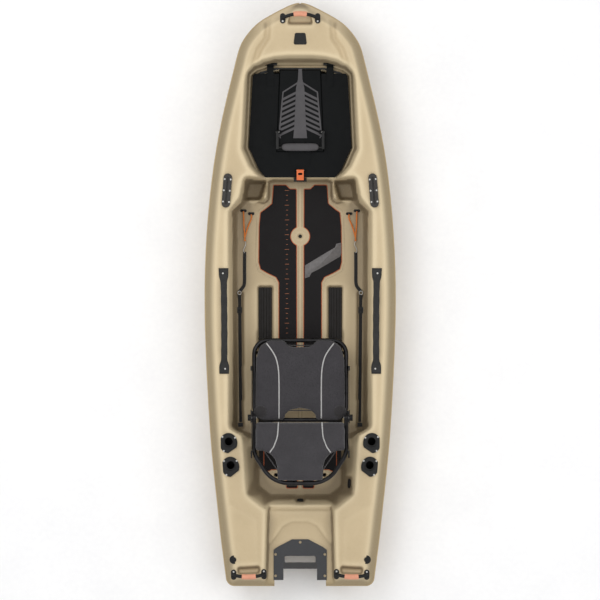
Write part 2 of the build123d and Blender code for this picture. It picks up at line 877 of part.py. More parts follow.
with BuildPart() as hatch_lid:
    add(prism(hatch_outline(), lid_bottom, lid_top))
    # the skirt that laps the upstand, left off ahead so that the lid can swing up
    add(hatch_ring(0, -4, lid_seat - 9, lid_bottom))
    with Locations((0, hatch_front - 20 + 100, lid_seat - 10)):
        Box(2 * half_beam, 240, 20, align=(Align.CENTER, Align.CENTER, Align.MIN), mode=Mode.SUBTRACT)
    # the raised middle panel, with the hand recess behind the grille
    for inset, height in ((0, lid_top), (6, lid_top + hump_height)):
        with BuildSketch(Plane.XY.offset(height)):
            with BuildLine():
                Polyline(*hump_points(inset), close=True)
            make_face()
    loft(ruled=True)
    with BuildSketch(Plane.XY.offset(lid_top + hump_height)):
        with BuildLine():
            Polyline((-63, hatch_rear + 140), (63, hatch_rear + 140), (46, hatch_rear + 53), (-46, hatch_rear + 53), close=True)
        make_face()
    extrude(amount=-hump_height - 3, mode=Mode.SUBTRACT)
    # ears for the handle's pins and lugs for the latch's pin
    for x in (-bail_half_span + 8, bail_half_span - 8):
        with BuildSketch(Plane.YZ.offset(x)):
            with Locations(bail_axis):
                Circle(9)
                Rectangle(18, 20, align=(Align.CENTER, Align.MAX))
        extrude(amount=5, both=True)
    for x in (-latch_width / 2 - 5, latch_width / 2 + 5):
        with BuildSketch(Plane.YZ.offset(x)):
            with Locations(latch_axis):
                Circle(7)
                Rectangle(14, 12, align=(Align.CENTER, Align.MAX))
        extrude(amount=3.5, both=True)
    for x in (-hinge_spread, hinge_spread):
        with BuildSketch(Plane.YZ.offset(x)):
            with Locations((hinge_axis_y, hinge_axis_z)):
                Circle(knuckle_radius)
            with BuildLine():
                Polyline(
                    (hatch_front - 105, lid_top),
                    (hatch_front - 105, lid_top + 5),
                    (hatch_front - 8, lid_top + 5),
                    (hinge_axis_y, hinge_axis_z + knuckle_radius - 1),
                    (hinge_axis_y, hinge_axis_z - knuckle_radius + 1),
                    (hatch_front, lid_top),
                    close=True,
                )
            make_face()
        extrude(amount=hinge_strap_width / 2, both=True)
        with BuildSketch(Plane.YZ.offset(x)):
            with Locations((hinge_axis_y, hinge_axis_z)):
                Circle(hinge_pin_radius + hinge_fit)
        extrude(amount=hinge_strap_width, both=True, mode=Mode.SUBTRACT)
save(hatch_lid.part, "hatch_lid")

with BuildPart() as hatch_grille:
    with BuildSketch(Plane.XY.offset(grille_lift)):
        with BuildLine():
            Polyline(*grille_outline, close=True)
        make_face()
        for row in range(9):
            for side in (1, -1):
                with Locations((side * (62 - row * 0.2), hatch_front - 148 - row * 25)):
                    SlotOverall(76 - abs(row - 5) * 1.5, 9, rotation=-25 * side, mode=Mode.SUBTRACT)
        # room for the ears of the handle
        with Locations((8 - bail_half_span, bail_axis[0]), (bail_half_span - 8, bail_axis[0])):
            Rectangle(12, 20, mode=Mode.SUBTRACT)
    extrude(amount=grille_thickness)
save(hatch_grille.part, "hatch_grille")

hinge_blocks = []
for x in (-hinge_spread, hinge_spread):
    for side in (-1, 1):
        with BuildPart() as cheek:
            with BuildSketch(Plane.YZ.offset(x + side * (hinge_strap_width / 2 + 8.5 + seam_play))):
                with Locations((hinge_axis_y + 5, rim_height)):
                    Rectangle(22, hinge_axis_z - rim_height, align=(Align.CENTER, Align.MIN))
                with Locations((hinge_axis_y, hinge_axis_z)):
                    Circle(8)
            extrude(amount=8.5, both=True)
        hinge_blocks.append(cheek.part)
    with BuildPart() as hinge_pin:
        with BuildSketch(Plane.YZ.offset(x)):
            with Locations((hinge_axis_y, hinge_axis_z)):
                Circle(hinge_pin_radius)
        extrude(amount=hinge_strap_width / 2 + seam_play, both=True)
    hinge_blocks.append(hinge_pin.part)
save(group(*hinge_blocks[0:2], *hinge_blocks[3:5]), "hinge_blocks")
save(group(hinge_blocks[2], hinge_blocks[5]), "hinge_pins")

# ---------------------------------------------------------------- hatch handle, a bail that swings on the lid
with BuildPart() as bail:
    for side in (-1, 1):
        with BuildSketch(Plane.YZ.offset(side * (bail_half_span + bail_arm / 2))):
            with Locations(bail_axis):
                Circle(9)
            with BuildLine():
                y, z = bail_axis
                Polyline((y, z + 9), (y - bail_reach - 8, z + 9), (y - bail_reach - 8, z - 7), (y, z - 9), close=True)
            make_face()
            with Locations(bail_axis):
                Circle(bail_pin_radius + hinge_fit, mode=Mode.SUBTRACT)
        extrude(amount=bail_arm / 2 - seam_play, both=True)
    with BuildSketch(Plane.YZ):
        with Locations((bail_axis[0] - bail_reach, bail_axis[1])):
            Circle(6)
    extrude(amount=bail_half_span + seam_play, both=True)
save(bail.part, "hatch_bail")

with BuildPart() as bail_pins:
    for side in (-1, 1):
        with BuildSketch(Plane.YZ.offset(side * (bail_half_span - 3))):
            with Locations(bail_axis):
                Circle(bail_pin_radius)
        extrude(amount=side * (bail_arm + 3))
save(bail_pins.part, "bail_pins")

with BuildPart() as bail_grip:
    with BuildSketch(Plane.YZ):
        with Locations((bail_axis[0] - bail_reach, bail_axis[1])):
            Circle(14)
            Circle(6, mode=Mode.SUBTRACT)
    extrude(amount=95, both=True)
save(bail_grip.part, "bail_grip")

# ---------------------------------------------------------------- hatch latch
with BuildPart() as latch_pull:
    y, z = latch_axis
    with BuildSketch(Plane.YZ):
        with Locations(latch_axis):
            Circle(5)
        with BuildLine():
            Polyline(
                (y, z + 5), (y - 34, z + 4), (y - 50, z + 1), (y - 50, z - 26), (y - 45, z - 26), (y - 44, z - 4), (y, z - 5),
                close=True,
            )
        make_face()
        with Locations(latch_axis):
            Circle(latch_pin_radius + hinge_fit, mode=Mode.SUBTRACT)
    extrude(amount=latch_width / 2 - seam_play, both=True)
    with BuildSketch(Plane.XY.offset(z - 10)):
        with Locations((0, y - 18)):
            SlotOverall(23, 12)
    extrude(amount=30, mode=Mode.SUBTRACT)
save(latch_pull.part, "latch_pull")

with BuildPart() as latch_pin:
    with BuildSketch(Plane.YZ):
        with Locations(latch_axis):
            Circle(latch_pin_radius)
    extrude(amount=latch_width / 2 + 1.5, both=True)
save(latch_pin.part, "latch_pin")

with BuildPart() as latch_keeper:
    keeper_y = latch_axis[0] - 50 - 4
    with Locations((0, keeper_y + 6, rim_height)):
        Box(67, 20, 3, align=(Align.CENTER, Align.CENTER, Align.MIN))
    with Locations((0, latch_axis[0] - 41, rim_height)):
        Box(30, 5, 12, align=(Align.CENTER, Align.CENTER, Align.MIN))
save(latch_keeper.part, "latch_keeper")

# ---------------------------------------------------------------- tie-downs beside the mats
padeye_places = [(293, 433), (253, 418)]
hook_y = 267
bungee_radius = 3
web_thickness = 2
web_width = 20
thin_web_width = 15
channel_x = floor_half - channel_width / 2 - 4  # where the webbing lies in its channel
anchor_y = cockpit_rear + 366


def floor_web(points, height=platform_height):
    """Flat webbing that lies just clear of a floor."""
    with BuildPart() as web:
        with BuildSketch(Plane.XY.offset(height + seam_play)):
            with BuildLine():
                Polyline(*points, close=True)
            make_face()
        extrude(amount=web_thickness)
    return web.part


def pad_eye(x, y):
    """A two-screw saddle eye on the floor."""
    with BuildPart() as eye:
        with BuildSketch(Plane.XY.offset(platform_height)):
            with Locations((x, y)):
                SlotOverall(34, 14)
        extrude(amount=3)
        with BuildSketch(Plane.XZ.offset(-y)):
            with Locations((x, platform_height + 3)):
                Circle(11)
                Circle(6, mode=Mode.SUBTRACT)
                Rectangle(40, 20, align=(Align.CENTER, Align.MAX), mode=Mode.SUBTRACT)
        extrude(amount=3, both=True)
    return eye.part


eyes = [pad_eye(x, y) for x, y in padeye_places]
save(group(*eyes, *[port_of(eye) for eye in eyes]), "tie_padeyes")

with BuildPart() as bungee:
    cord_height = platform_height + 9
    for x, y in padeye_places:
        with BuildLine() as run:
            Line((x, y - 6.2, cord_height), (286, hook_y + 12, cord_height))
        add(tube_along(run.wires()[0], bungee_radius))
        with Locations((x, y - 6.2, cord_height)):
            Sphere(bungee_radius)
    with Locations((286, hook_y + 12, cord_height)):
        Sphere(bungee_radius * 1.6)
save_both(bungee.part, "bungees")

with BuildPart() as strap_hook:
    with BuildLine() as wire:
        Spline(
            (286, hook_y + 6.4, cord_height), (281, hook_y - 6, cord_height), (287, hook_y - 22, cord_height),
            (293, hook_y - 40, cord_height - 2), (287, hook_y - 51, platform_height + 4.6),
        )
    add(tube_along(wire.wires()[0], 2))
save_both(strap_hook.part, "strap_hooks")

web_start = hook_y - 47
fore_web = floor_web([
    (287 - web_width / 2, web_start), (287 + web_width / 2, web_start), (288 + web_width / 2, 54),
    (314 + web_width / 2, 22), (314 - web_width / 2, 14), (288 - web_width / 2, 46),
])
aft_web = floor_web(
    [
        (channel_x + 4 - thin_web_width / 2, -10), (channel_x + 4 + thin_web_width / 2, -10),
        (channel_x + thin_web_width / 2 - 4, anchor_y + 14), (channel_x - thin_web_width / 2 - 4, anchor_y + 14),
    ],
    platform_height - channel_depth,
)
save(group(fore_web, aft_web, port_of(fore_web), port_of(aft_web)), "tie_webs")

with BuildPart() as tie_ring:
    with Locations((314, 9, platform_height + web_thickness + 2 * seam_play + 2)):
        Torus(9, 2)
with BuildPart() as tie_slider:
    with Locations((channel_x + 3, -80, platform_height - channel_depth + web_thickness + 2 * seam_play)):
        Box(24, 31, 6, align=(Align.CENTER, Align.CENTER, Align.MIN))
        Box(14, 5, 6, align=(Align.CENTER, Align.CENTER, Align.MIN), mode=Mode.SUBTRACT)
save_both(tie_ring.part, "tie_rings")
save_both(tie_slider.part, "tie_sliders")

with BuildPart() as web_anchor:
    with Locations((channel_x - 2, anchor_y, platform_height - channel_depth)):
        Box(24, 20, 8, align=(Align.CENTER, Align.CENTER, Align.MIN))
        Box(18, 30, 3, align=(Align.CENTER, Align.CENTER, Align.MIN), mode=Mode.SUBTRACT)
save_both(web_anchor.part, "web_anchors")

# ---------------------------------------------------------------- folding seat
seat_half = 237  # centre line of the side tubes
seat_tube = 11
seat_height = 272  # centre line of the pan frame above the keel plane
seat_front = -236
seat_rear = -646
seat_corner = 70
leg_tube = 9
leg_fore = -300
leg_aft = -590
pan_top = seat_height + seat_tube
pad_thickness = 20
arch_half = 81
front_arch = 35
rear_arch = 60
hinge_y = -634
hinge_z = 340
hinge_pin = 5
hinge_boss = 16
bracket_gap = 2
bracket_thickness = 6
knob_radius = 16
back_angle = 32  # of the back above the horizontal, as the seat lies
back_length = 395
back_top_half = 140
back_waist = 220
back_corner = 150
skid_height = 16
seat_bracket_x = seat_half + seat_tube + bracket_gap

with BuildPart() as seat_frame:
    with BuildLine(Plane.XY.offset(seat_height)) as loop:
        FilletPolyline(
            (seat_half, seat_front), (seat_half, seat_rear), (-seat_half, seat_rear), (-seat_half, seat_front),
            radius=seat_corner, close=True,
        )
    add(tube_along(loop.wires()[0], seat_tube))
    with BuildSketch(Plane.YZ):
        with Locations(((leg_fore + leg_aft) / 2, seat_height)):
            Circle(leg_tube)
    extrude(amount=seat_half, both=True)
    for side in (-1, 1):
        for y in (leg_fore, leg_aft):
            with BuildLine() as leg:
                Line((side * seat_half, y, seat_height), (side * rail_centre, y, rail_floor + rail_base + skid_height - 2))
            add(tube_along(leg.wires()[0], leg_tube))
        with BuildSketch(Plane.YZ.offset(side * seat_bracket_x)):
            with BuildLine():
                Polyline(
                    (hinge_y - 30, seat_height - 8), (hinge_y + 40, seat_height - 8), (hinge_y + 40, seat_height + 8),
                    (hinge_y + 14, hinge_z + 6), (hinge_y - 14, hinge_z + 6), (hinge_y - 30, seat_height + 8), close=True,
                )
            make_face()
            with Locations((hinge_y, hinge_z)):
                Circle(16)
                Circle(hinge_pin, mode=Mode.SUBTRACT)
        extrude(amount=side * bracket_thickness)
        with Locations((side * (seat_half + 9), hinge_y + 5, seat_height)):
            Box(20, 60, 10)
    for side in (-1, 1):
        with Locations((side * rail_centre, (leg_fore + leg_aft) / 2, rail_floor + rail_base + seam_play)):
            Box(skid_width, leg_fore - leg_aft + 60, skid_height, align=(Align.CENTER, Align.CENTER, Align.MIN))
save(seat_frame.part, "seat_frame")

with BuildPart() as pan_pad:
    with BuildSketch(Plane.XY.offset(pan_top + seam_play)):
        with Locations((0, (seat_front + seat_rear) / 2)):
            RectangleRounded(2 * seat_half + 6, seat_front - seat_rear + 18, seat_corner + 20)
        with Locations((0, seat_front + 9)):
            Ellipse(arch_half, front_arch, mode=Mode.SUBTRACT)
        with Locations((0, seat_rear - 9)):
            Ellipse(arch_half, rear_arch, mode=Mode.SUBTRACT)
    extrude(amount=pad_thickness)
save(pan_pad.part, "pan_pad")

with BuildPart() as seat_pins:
    for side in (-1, 1):
        with BuildSketch(Plane.YZ.offset(side * (seat_bracket_x + bracket_thickness))):
            with Locations((hinge_y, hinge_z)):
                Circle(hinge_pin)
        extrude(amount=-side * (bracket_thickness + bracket_gap + 2 * seat_tube + 2))
save(seat_pins.part, "seat_pins")

with BuildPart() as recline_knob:
    with BuildSketch(Plane.YZ.offset(seat_bracket_x + bracket_thickness + seam_play)):
        with Locations((hinge_y, hinge_z)):
            Circle(knob_radius - 3)
            with PolarLocations(knob_radius - 3, 6):
                Circle(3.5)
    extrude(amount=14)
save_pair(recline_knob.part, "recline_knob")

# The back stands on a plane of its own: y runs up the back, z to the sitter's side turned under.
back_plane = Plane(
    origin=(0, hinge_y, hinge_z),
    x_dir=(-1, 0, 0),
    z_dir=(0, sin(radians(back_angle)), cos(radians(back_angle))),
)
with BuildPart() as back_frame:
    with BuildLine(back_plane) as frame_path:
        FilletPolyline(
            (seat_half, 8), (seat_half, back_waist), (back_top_half, back_length), (-back_top_half, back_length),
            (-seat_half, back_waist), (-seat_half, 8), radius=back_corner,
        )
    add(tube_along(frame_path.wires()[0], seat_tube))
    with BuildSketch(Plane.YZ):
        with Locations((hinge_y - 46 * cos(radians(back_angle)), hinge_z + 46 * sin(radians(back_angle)))):
            Circle(leg_tube)
    extrude(amount=seat_half, both=True)
    for side in (-1, 1):
        with BuildSketch(Plane.YZ.offset(side * (seat_half - seat_tube))):
            with Locations((hinge_y, hinge_z)):
                Circle(hinge_boss)
        extrude(amount=side * 2 * seat_tube)
        with BuildSketch(Plane.YZ.offset(side * (seat_half - seat_tube - 1))):
            with Locations((hinge_y, hinge_z)):
                Circle(hinge_pin + hinge_fit)
        extrude(amount=side * (2 * seat_tube + 2), mode=Mode.SUBTRACT)
save(back_frame.part, "back_frame")

with BuildPart() as back_pad:
    with BuildSketch(back_plane.offset(seat_tube + seam_play)):
        with BuildLine():
            Polyline(
                (seat_half - 4, 30), (seat_half + 4, back_waist - 14), (back_top_half - 8, back_length - 82),
                (back_top_half - 18, back_length + 6), (18 - back_top_half, back_length + 6),
                (8 - back_top_half, back_length - 82), (-seat_half - 4, back_waist - 14), (4 - seat_half, 30), close=True,
            )
        make_face()
        fillet(vertices(), 12)
    extrude(amount=pad_thickness)
save(back_pad.part, "back_pad")

# ---------------------------------------------------------------- motor bracket and transom board
bracket_top = 6
bolt_spread = 127
bolt_length = 110.5
bolt_front = stern + 160.5
bolt_hole = 7
board_half = 86.5
board_front = stern + 117
board_thickness = 31
board_height = 128

with BuildPart() as motor_bracket:
    with BuildSketch(Plane.XY.offset(bracket_height)):
        with BuildLine():
            Polyline(
                *both_sides(
                    [
                        (42, stern + 238), (117, stern + 199), (137, stern + 184), (137, stern + ledge_end),
                        (board_half, stern + ledge_end), (board_half, board_front),
                    ]
                ),
                close=True,
            )
        make_face()
        with Locations((0, stern + 135)):
            RectangleRounded(2 * board_half - 14, 34, 8, mode=Mode.SUBTRACT)
        bolt_places = [(s * bolt_spread, y) for s in (-1, 1) for y in (bolt_front, bolt_front - bolt_length)]
        with Locations((0, stern + 223), *bolt_places):
            Circle(bolt_hole, mode=Mode.SUBTRACT)
    extrude(amount=bracket_top)
save(motor_bracket.part, "motor_bracket")

with BuildPart() as transom_board:
    with Locations((0, board_front - board_thickness / 2, bracket_height + bracket_top)):
        Box(2 * board_half, board_thickness, board_height, align=(Align.CENTER, Align.CENTER, Align.MAX))
save(transom_board.part, "transom_board")

# ---------------------------------------------------------------- recline straps of the seat
strap_x = seat_half + seat_tube + 2
strap_fore = (-392, seat_height + 16)
strap_aft = (-796, hinge_z + 106)
with BuildPart() as recline_strap:
    with BuildSketch(Plane.YZ.offset(strap_x)):
        with BuildLine():
            Polyline(
                (strap_fore[0], strap_fore[1] - 9), (strap_fore[0], strap_fore[1] + 9),
                (strap_aft[0], strap_aft[1] + 9), (strap_aft[0], strap_aft[1] - 9), close=True,
            )
        make_face()
    extrude(amount=web_thickness)
save_both(recline_strap.part, "recline_straps")

with BuildPart() as pan_buckle:
    with Locations((seat_half + seat_tube + 4 + 0.2, strap_fore[0] + 12.2, seat_height + 10)):
        Box(8, 24, 34)
save_both(pan_buckle.part, "pan_buckles")

back_buckle_x = seat_half + seat_tube + 2.25  # the back frame has begun to bend in here
with BuildPart() as back_buckle:
    buckle_plane = Plane(
        back_plane.from_local_coords(Vector(-back_buckle_x, 222, -8)), x_dir=(1, 0, 0), z_dir=back_plane.z_dir
    )
    with BuildSketch(buckle_plane):
        Rectangle(8, 34)
    extrude(amount=20)
save_both(back_buckle.part, "back_buckles")

# ---------------------------------------------------------------- grommets in the rear walls of the cockpit
grommet_radius = 16
grommet_hole = 10


def wall_grommet(wall_plane, stretch):
    """A rubber grommet on a cockpit wall; its middle is recessed."""
    with BuildPart() as grommet:
        with BuildSketch(wall_plane.offset(0.1)):
            SlotOverall(2 * grommet_radius * stretch, 2 * grommet_radius)
        extrude(amount=4)
        with BuildSketch(wall_plane.offset(4.1)):
            SlotOverall(2 * grommet_radius * stretch - 2 * (grommet_radius - grommet_hole), 2 * grommet_hole)
        extrude(amount=-2.5, mode=Mode.SUBTRACT)
    return grommet.part


def cockpit_wall_plane(index, share, height):
    """The plane that touches the cockpit wall between two corners of its floor, at that share and height."""
    floor = cockpit_floor()
    top = up_to_top(floor, cockpit_edge(), platform_height)
    tall = well_top - platform_height
    risen = (height - platform_height) / tall
    low = Vector(*floor[index]) * (1 - share) + Vector(*floor[index + 1]) * share
    high = Vector(*top[index]) * (1 - share) + Vector(*top[index + 1]) * share + Vector(0, 0, tall)
    low_run = Vector(*floor[index + 1]) - Vector(*floor[index])
    high_run = Vector(*top[index + 1]) - Vector(*top[index])
    along = low_run * (1 - risen) + high_run * risen
    place = low * (1 - risen) + high * risen + Vector(0, 0, platform_height)
    return Plane(place, x_dir=along, z_dir=along.cross(high - low))


save(wall_grommet(cockpit_wall_plane(7, 0.5, platform_height + 62), 1.02), "cable_grommet")
save(wall_grommet(cockpit_wall_plane(5, 0.86, platform_height + 105), 1.5), "wall_grommet")
save(group(*deck_screws), "deck_screws")
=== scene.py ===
import math

import bpy
import numpy as np
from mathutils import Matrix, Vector
from mathutils.bvhtree import BVHTree


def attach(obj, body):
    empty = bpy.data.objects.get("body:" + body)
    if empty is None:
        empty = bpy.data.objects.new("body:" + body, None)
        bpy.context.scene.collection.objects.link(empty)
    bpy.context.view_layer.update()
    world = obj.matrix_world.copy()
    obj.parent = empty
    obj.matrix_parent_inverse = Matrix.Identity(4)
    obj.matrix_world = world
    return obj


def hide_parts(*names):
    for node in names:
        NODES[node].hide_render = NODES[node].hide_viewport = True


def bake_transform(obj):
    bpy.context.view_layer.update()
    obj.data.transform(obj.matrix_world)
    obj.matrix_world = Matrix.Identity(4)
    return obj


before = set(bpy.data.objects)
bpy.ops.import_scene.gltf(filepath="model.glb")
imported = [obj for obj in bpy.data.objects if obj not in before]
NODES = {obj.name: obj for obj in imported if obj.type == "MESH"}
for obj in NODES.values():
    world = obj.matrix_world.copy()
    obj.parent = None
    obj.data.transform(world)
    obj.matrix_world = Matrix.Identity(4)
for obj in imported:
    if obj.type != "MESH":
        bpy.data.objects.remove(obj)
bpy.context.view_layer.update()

# ---------------------------------------------------------------- driving sizes in millimetres, as in the CAD
MM = 0.001
BOW = 1500
STERN = -1500
SEAM_AMIDSHIPS = 262
DECK_RISE = 70
TRIM = math.tan(math.radians(1.3))
BAND = 45  # width of the deck's sloped outer band
FLOOR = 130
HATCH_FLOOR = 215
STERN_FLOOR = 245
TUB_FLOOR = 100
FINE_TURN = 33  # a full turn in this many points, the last on the first
COARSE_TURN = 25


def seam_height(y):
    return SEAM_AMIDSHIPS + y * TRIM


def deck_height(y):
    return SEAM_AMIDSHIPS + DECK_RISE + y * TRIM


# ---------------------------------------------------------------- plan geometry with numpy
def both_sides(half):
    """A closed outline from its starboard half, listed from bow to stern."""
    return half + [(-x, y) for x, y in reversed(half)]


def rounded(points, radius, steps=5):
    """The closed outline with its corners rounded. A corner takes less where its sides are short."""
    out = []
    count = len(points)
    for i in range(count):
        before, here, after = (np.array(points[(i + k) % count], float) for k in (-1, 0, 1))
        back, ahead = before - here, after - here
        back_long, ahead_long = np.linalg.norm(back), np.linalg.norm(ahead)
        back, ahead = back / back_long, ahead / ahead_long
        half_angle = math.acos(max(-1.0, min(1.0, float(back @ ahead)))) / 2
        reach = min(radius / max(math.tan(half_angle), 0.05), 0.48 * back_long, 0.48 * ahead_long)
        first, last = here + back * reach, here + ahead * reach
        for k in range(steps + 1):
            t = k / steps
            out.append(tuple((1 - t) ** 2 * first + 2 * t * (1 - t) * here + t * t * last))
    return out


def distance(x, y, outline):
    """Signed distance to a closed outline: negative inside."""
    points = np.array(outline, float)
    best = np.full(x.shape, 1e18)
    inside = np.zeros(x.shape, bool)
    for (ax, ay), (bx, by) in zip(points, np.roll(points, -1, axis=0)):
        ex, ey = bx - ax, by - ay
        wx, wy = x - ax, y - ay
        t = np.clip((wx * ex + wy * ey) / max(ex * ex + ey * ey, 1e-9), 0, 1)
        best = np.minimum(best, (wx - ex * t) ** 2 + (wy - ey * t) ** 2)
        crosses = (ay > y) != (by > y)
        if ey:
            inside ^= crosses & (x < ex * (y - ay) / ey + ax)
    return np.sqrt(best) * np.where(inside, -1, 1)


def smooth(t):
    """A soft step from 0 to 1."""
    t = np.clip(t, 0, 1)
    return t * t * (3 - 2 * t)


def open_distance(x, y, points):
    """Distance to an open run of points."""
    best = np.full(x.shape, 1e18)
    for (ax, ay), (bx, by) in zip(points, points[1:]):
        ex, ey = bx - ax, by - ay
        wx, wy = x - ax, y - ay
        t = np.clip((wx * ex + wy * ey) / max(ex * ex + ey * ey, 1e-9), 0, 1)
        best = np.minimum(best, (wx - ex * t) ** 2 + (wy - ey * t) ** 2)
    return np.sqrt(best)


# ---------------------------------------------------------------- outlines of the deck
HATCH = both_sides([(127, 1179), (218, 1150), (248, 1127), (263, 759), (214, 646), (180, 604)])
HATCH_EDGE = both_sides([
    (60, 1232), (130, 1225), (192, 1210), (240, 1184), (272, 1146), (284, 1100), (302, 752), (262, 660),
    (205, 604), (190, 560),
])
FLOOR_OUTLINE = both_sides([
    (167, 587), (167, 477), (285, 477), (333, 425), (333, -700), (215, -738), (215, -988), (154, -1038),
])
FLOOR_EDGE = both_sides([
    (175, 600), (175, 480), (300, 512), (367, 430), (367, -690), (297, -716), (279, -1033), (185, -1106),
])
MAT = [
    (18, 547), (52, 547), (73, 568), (140, 568), (147, 471), (185, 440), (207, 425), (214, 350),
    (216, 167), (206, 130), (168, 108), (126, 88), (112, 62), (112, -560), (15, -560),
]
AFT_MAT = [
    (15, -700), (190, -700), (189, -918), (158, -912), (149, -906), (104, -906), (95, -902), (70, -893),
    (15, -893),
]
AFT_PAD = [(12, -950), (73, -950), (73, -1002), (12, -1002)]
HATCH_LIP = rounded(
    both_sides([(128, 1190), (224, 1160), (258, 1132), (274, 757), (224, 638), (186, 594)]), 22,
)
NOTCH_INNER = both_sides([
    (36, -1288), (97, -1326), (107, -1344), (107, -1472), (133, -1472), (133, -1560),
])
HUB = (0, 301)
HUB_RINGS = ((43, 3.5), (32, -3.0), (21, 4.5))  # radius, and how far each stands up
SCUPPER = (125, -932)
ROD_HOLDERS = [(370, -761), (359.5, -883)]
FOOT_WELL = [(181, 579), (267, 579), (287, 495), (207, 495)]
STRAP_CHANNEL = [(295, 10), (333, 10), (333, -693), (295, -693)]
CHANNEL_FLOOR = 113.4
RAIL_SLOT = [(143, 41), (219, 41), (219, -891), (143, -891)]
RAIL_FLOOR = 113.6
FOOT_FLOOR = 85
COAMING = 229.0  # top of the ledge that the hatch gasket lies on
LIP_HEIGHT = 235
VALLEY = [(166, 1400), (172, 1321), (212, 1262), (236, 1190), (262, 1125)]
WALL_GROMMET = [(236, -940), (268, -940), (268, -1008), (236, -1008)]
CABLE_GROMMET = both_sides([(24, -1044), (24, -1078)])
STERN_ARCH = both_sides([(42, -1177), (83, -1197), (150, -1290), (176, -1560)])
BOW_SCOOP = both_sides([(50, 1444), (64, 1394)])
STERN_SCOOP = [(208, -1402), (322, -1408), (318, -1442), (212, -1438)]
STERN_SHELF = both_sides([(158, -1098), (172, -1560)])
SIDE_PANEL = [(372, -1074), (221, -1156), (215, -1403), (330, -1409), (352, -1300)]
ROWS = 560
COLUMNS = 172


def mirrored(points):
    """An outline mirrored across the middle line."""
    return [(-x, y) for x, y in points]


def per_side():
    """Starboard then port: the sign across, and what takes a starboard outline to that side."""
    return (1, lambda points: points), (-1, mirrored)


def circle(x, y, radius, turn=FINE_TURN):
    angles = np.linspace(0, 2 * math.pi, turn)[:-1]
    return [(x + radius * math.cos(a), y + radius * math.sin(a)) for a in angles]


def walls(levels, count):
    """The faces between loops of count points that are listed one after another."""
    faces = []
    for level in range(levels - 1):
        low, high = level * count, (level + 1) * count
        faces += [(low + k, low + (k + 1) % count, high + (k + 1) % count, high + k) for k in range(count)]
    return faces


def grown(points, amount):
    """A convex outline moved outward from its middle by that amount."""
    points = np.array(points, float)
    middle = points.mean(0)
    away = points - middle
    return [tuple(p) for p in middle + away * (1 + amount / np.linalg.norm(away, axis=1, keepdims=True))]


# ---------------------------------------------------------------- node materials
def linear(colour):
    """Scene-linear RGBA from a 0 to 255 sRGB colour."""
    out = []
    for c in colour:
        c /= 255
        out.append(c / 12.92 if c <= 0.04045 else ((c + 0.055) / 1.055) ** 2.4)
    return (*out, 1)


class Shader:
    """A Principled material that is built up by short calls."""

    def __init__(self, name):
        self.material = bpy.data.materials.new(name)
        self.material.use_nodes = True
        self.tree = self.material.node_tree
        self.surface = self.tree.nodes["Principled BSDF"]
        self.place = self.tree.nodes.new("ShaderNodeTexCoord").outputs["Object"]
        self.normal = None

    def set(self, **values):
        for key, value in values.items():
            self.surface.inputs[key.replace("_", " ")].default_value = value
        return self

    def new(self, kind, **settings):
        node = self.tree.nodes.new("ShaderNode" + kind)
        for key, value in settings.items():
            setattr(node, key, value)
        return node

    def link(self, output, socket):
        self.tree.links.new(output, socket)

    def stretched(self, scale, turn=0.0):
        mapping = self.new("Mapping")
        mapping.inputs["Scale"].default_value = scale
        mapping.inputs["Rotation"].default_value = (0, 0, math.radians(turn))
        self.link(self.place, mapping.inputs["Vector"])
        return mapping.outputs["Vector"]

    def noise(self, scale, detail=3.0, stretch=None, turn=0.0, roughness=0.55):
        node = self.new("TexNoise")
        node.inputs["Scale"].default_value = scale
        node.inputs["Detail"].default_value = detail
        node.inputs["Roughness"].default_value = roughness
        self.link(self.stretched(stretch, turn) if stretch else self.place, node.inputs["Vector"])
        return node.outputs["Fac"]

    def cells(self, scale, feature="F1", stretch=None):
        node = self.new("TexVoronoi", feature=feature)
        node.inputs["Scale"].default_value = scale
        self.link(self.stretched(stretch) if stretch else self.place, node.inputs["Vector"])
        return node.outputs["Distance"]

    def wave(self, scale, direction="X", turn=0.0, distortion=0.0):
        node = self.new("TexWave", bands_direction=direction, wave_profile="SIN")
        node.inputs["Scale"].default_value = scale
        node.inputs["Distortion"].default_value = distortion
        self.link(self.stretched((1, 1, 1), turn), node.inputs["Vector"])
        return node.outputs["Fac"]

    def math(self, operation, a, b):
        node = self.new("Math", operation=operation)
        for socket, value in zip(node.inputs, (a, b)):
            if isinstance(value, (int, float)):
                socket.default_value = value
            else:
                self.link(value, socket)
        return node.outputs[0]

    def attribute(self, name):
        return self.new("Attribute", attribute_name=name).outputs["Fac"]

    def ramp(self, value, *stops):
        """A colour or grey ramp through (place, colour) stops."""
        node = self.new("ValToRGB")
        elements = node.color_ramp.elements
        while len(elements) < len(stops):
            elements.new(0.5)
        for element, (place, colour) in zip(elements, stops):
            element.position = place
            element.color = linear(colour) if isinstance(colour, tuple) else (colour, colour, colour, 1)
        self.link(value, node.inputs["Fac"])
        return node.outputs["Color"]

    def mix(self, share, a, b, blend_type="MIX"):
        node = self.new("Mix", data_type="RGBA", blend_type=blend_type)
        for socket, value in zip((node.inputs[0], node.inputs[6], node.inputs[7]), (share, a, b)):
            if isinstance(value, (int, float)):
                socket.default_value = value
            elif isinstance(value, tuple):
                socket.default_value = linear(value)
            else:
                self.link(value, socket)
        return node.outputs[2]

    def colour(self, output):
        self.link(output, self.surface.inputs["Base Color"])
        return self

    def rough(self, value, low, high):
        self.link(self.ramp(value, (0.3, low), (0.7, high)), self.surface.inputs["Roughness"])
        return self

    def bump(self, height, distance, strength=1.0):
        node = self.new("Bump")
        node.inputs["Strength"].default_value = strength
        node.inputs["Distance"].default_value = distance
        self.link(height, node.inputs["Height"])
        if self.normal:
            self.link(self.normal, node.inputs["Normal"])
        self.normal = node.outputs["Normal"]
        self.link(self.normal, self.surface.inputs["Normal"])
        return self


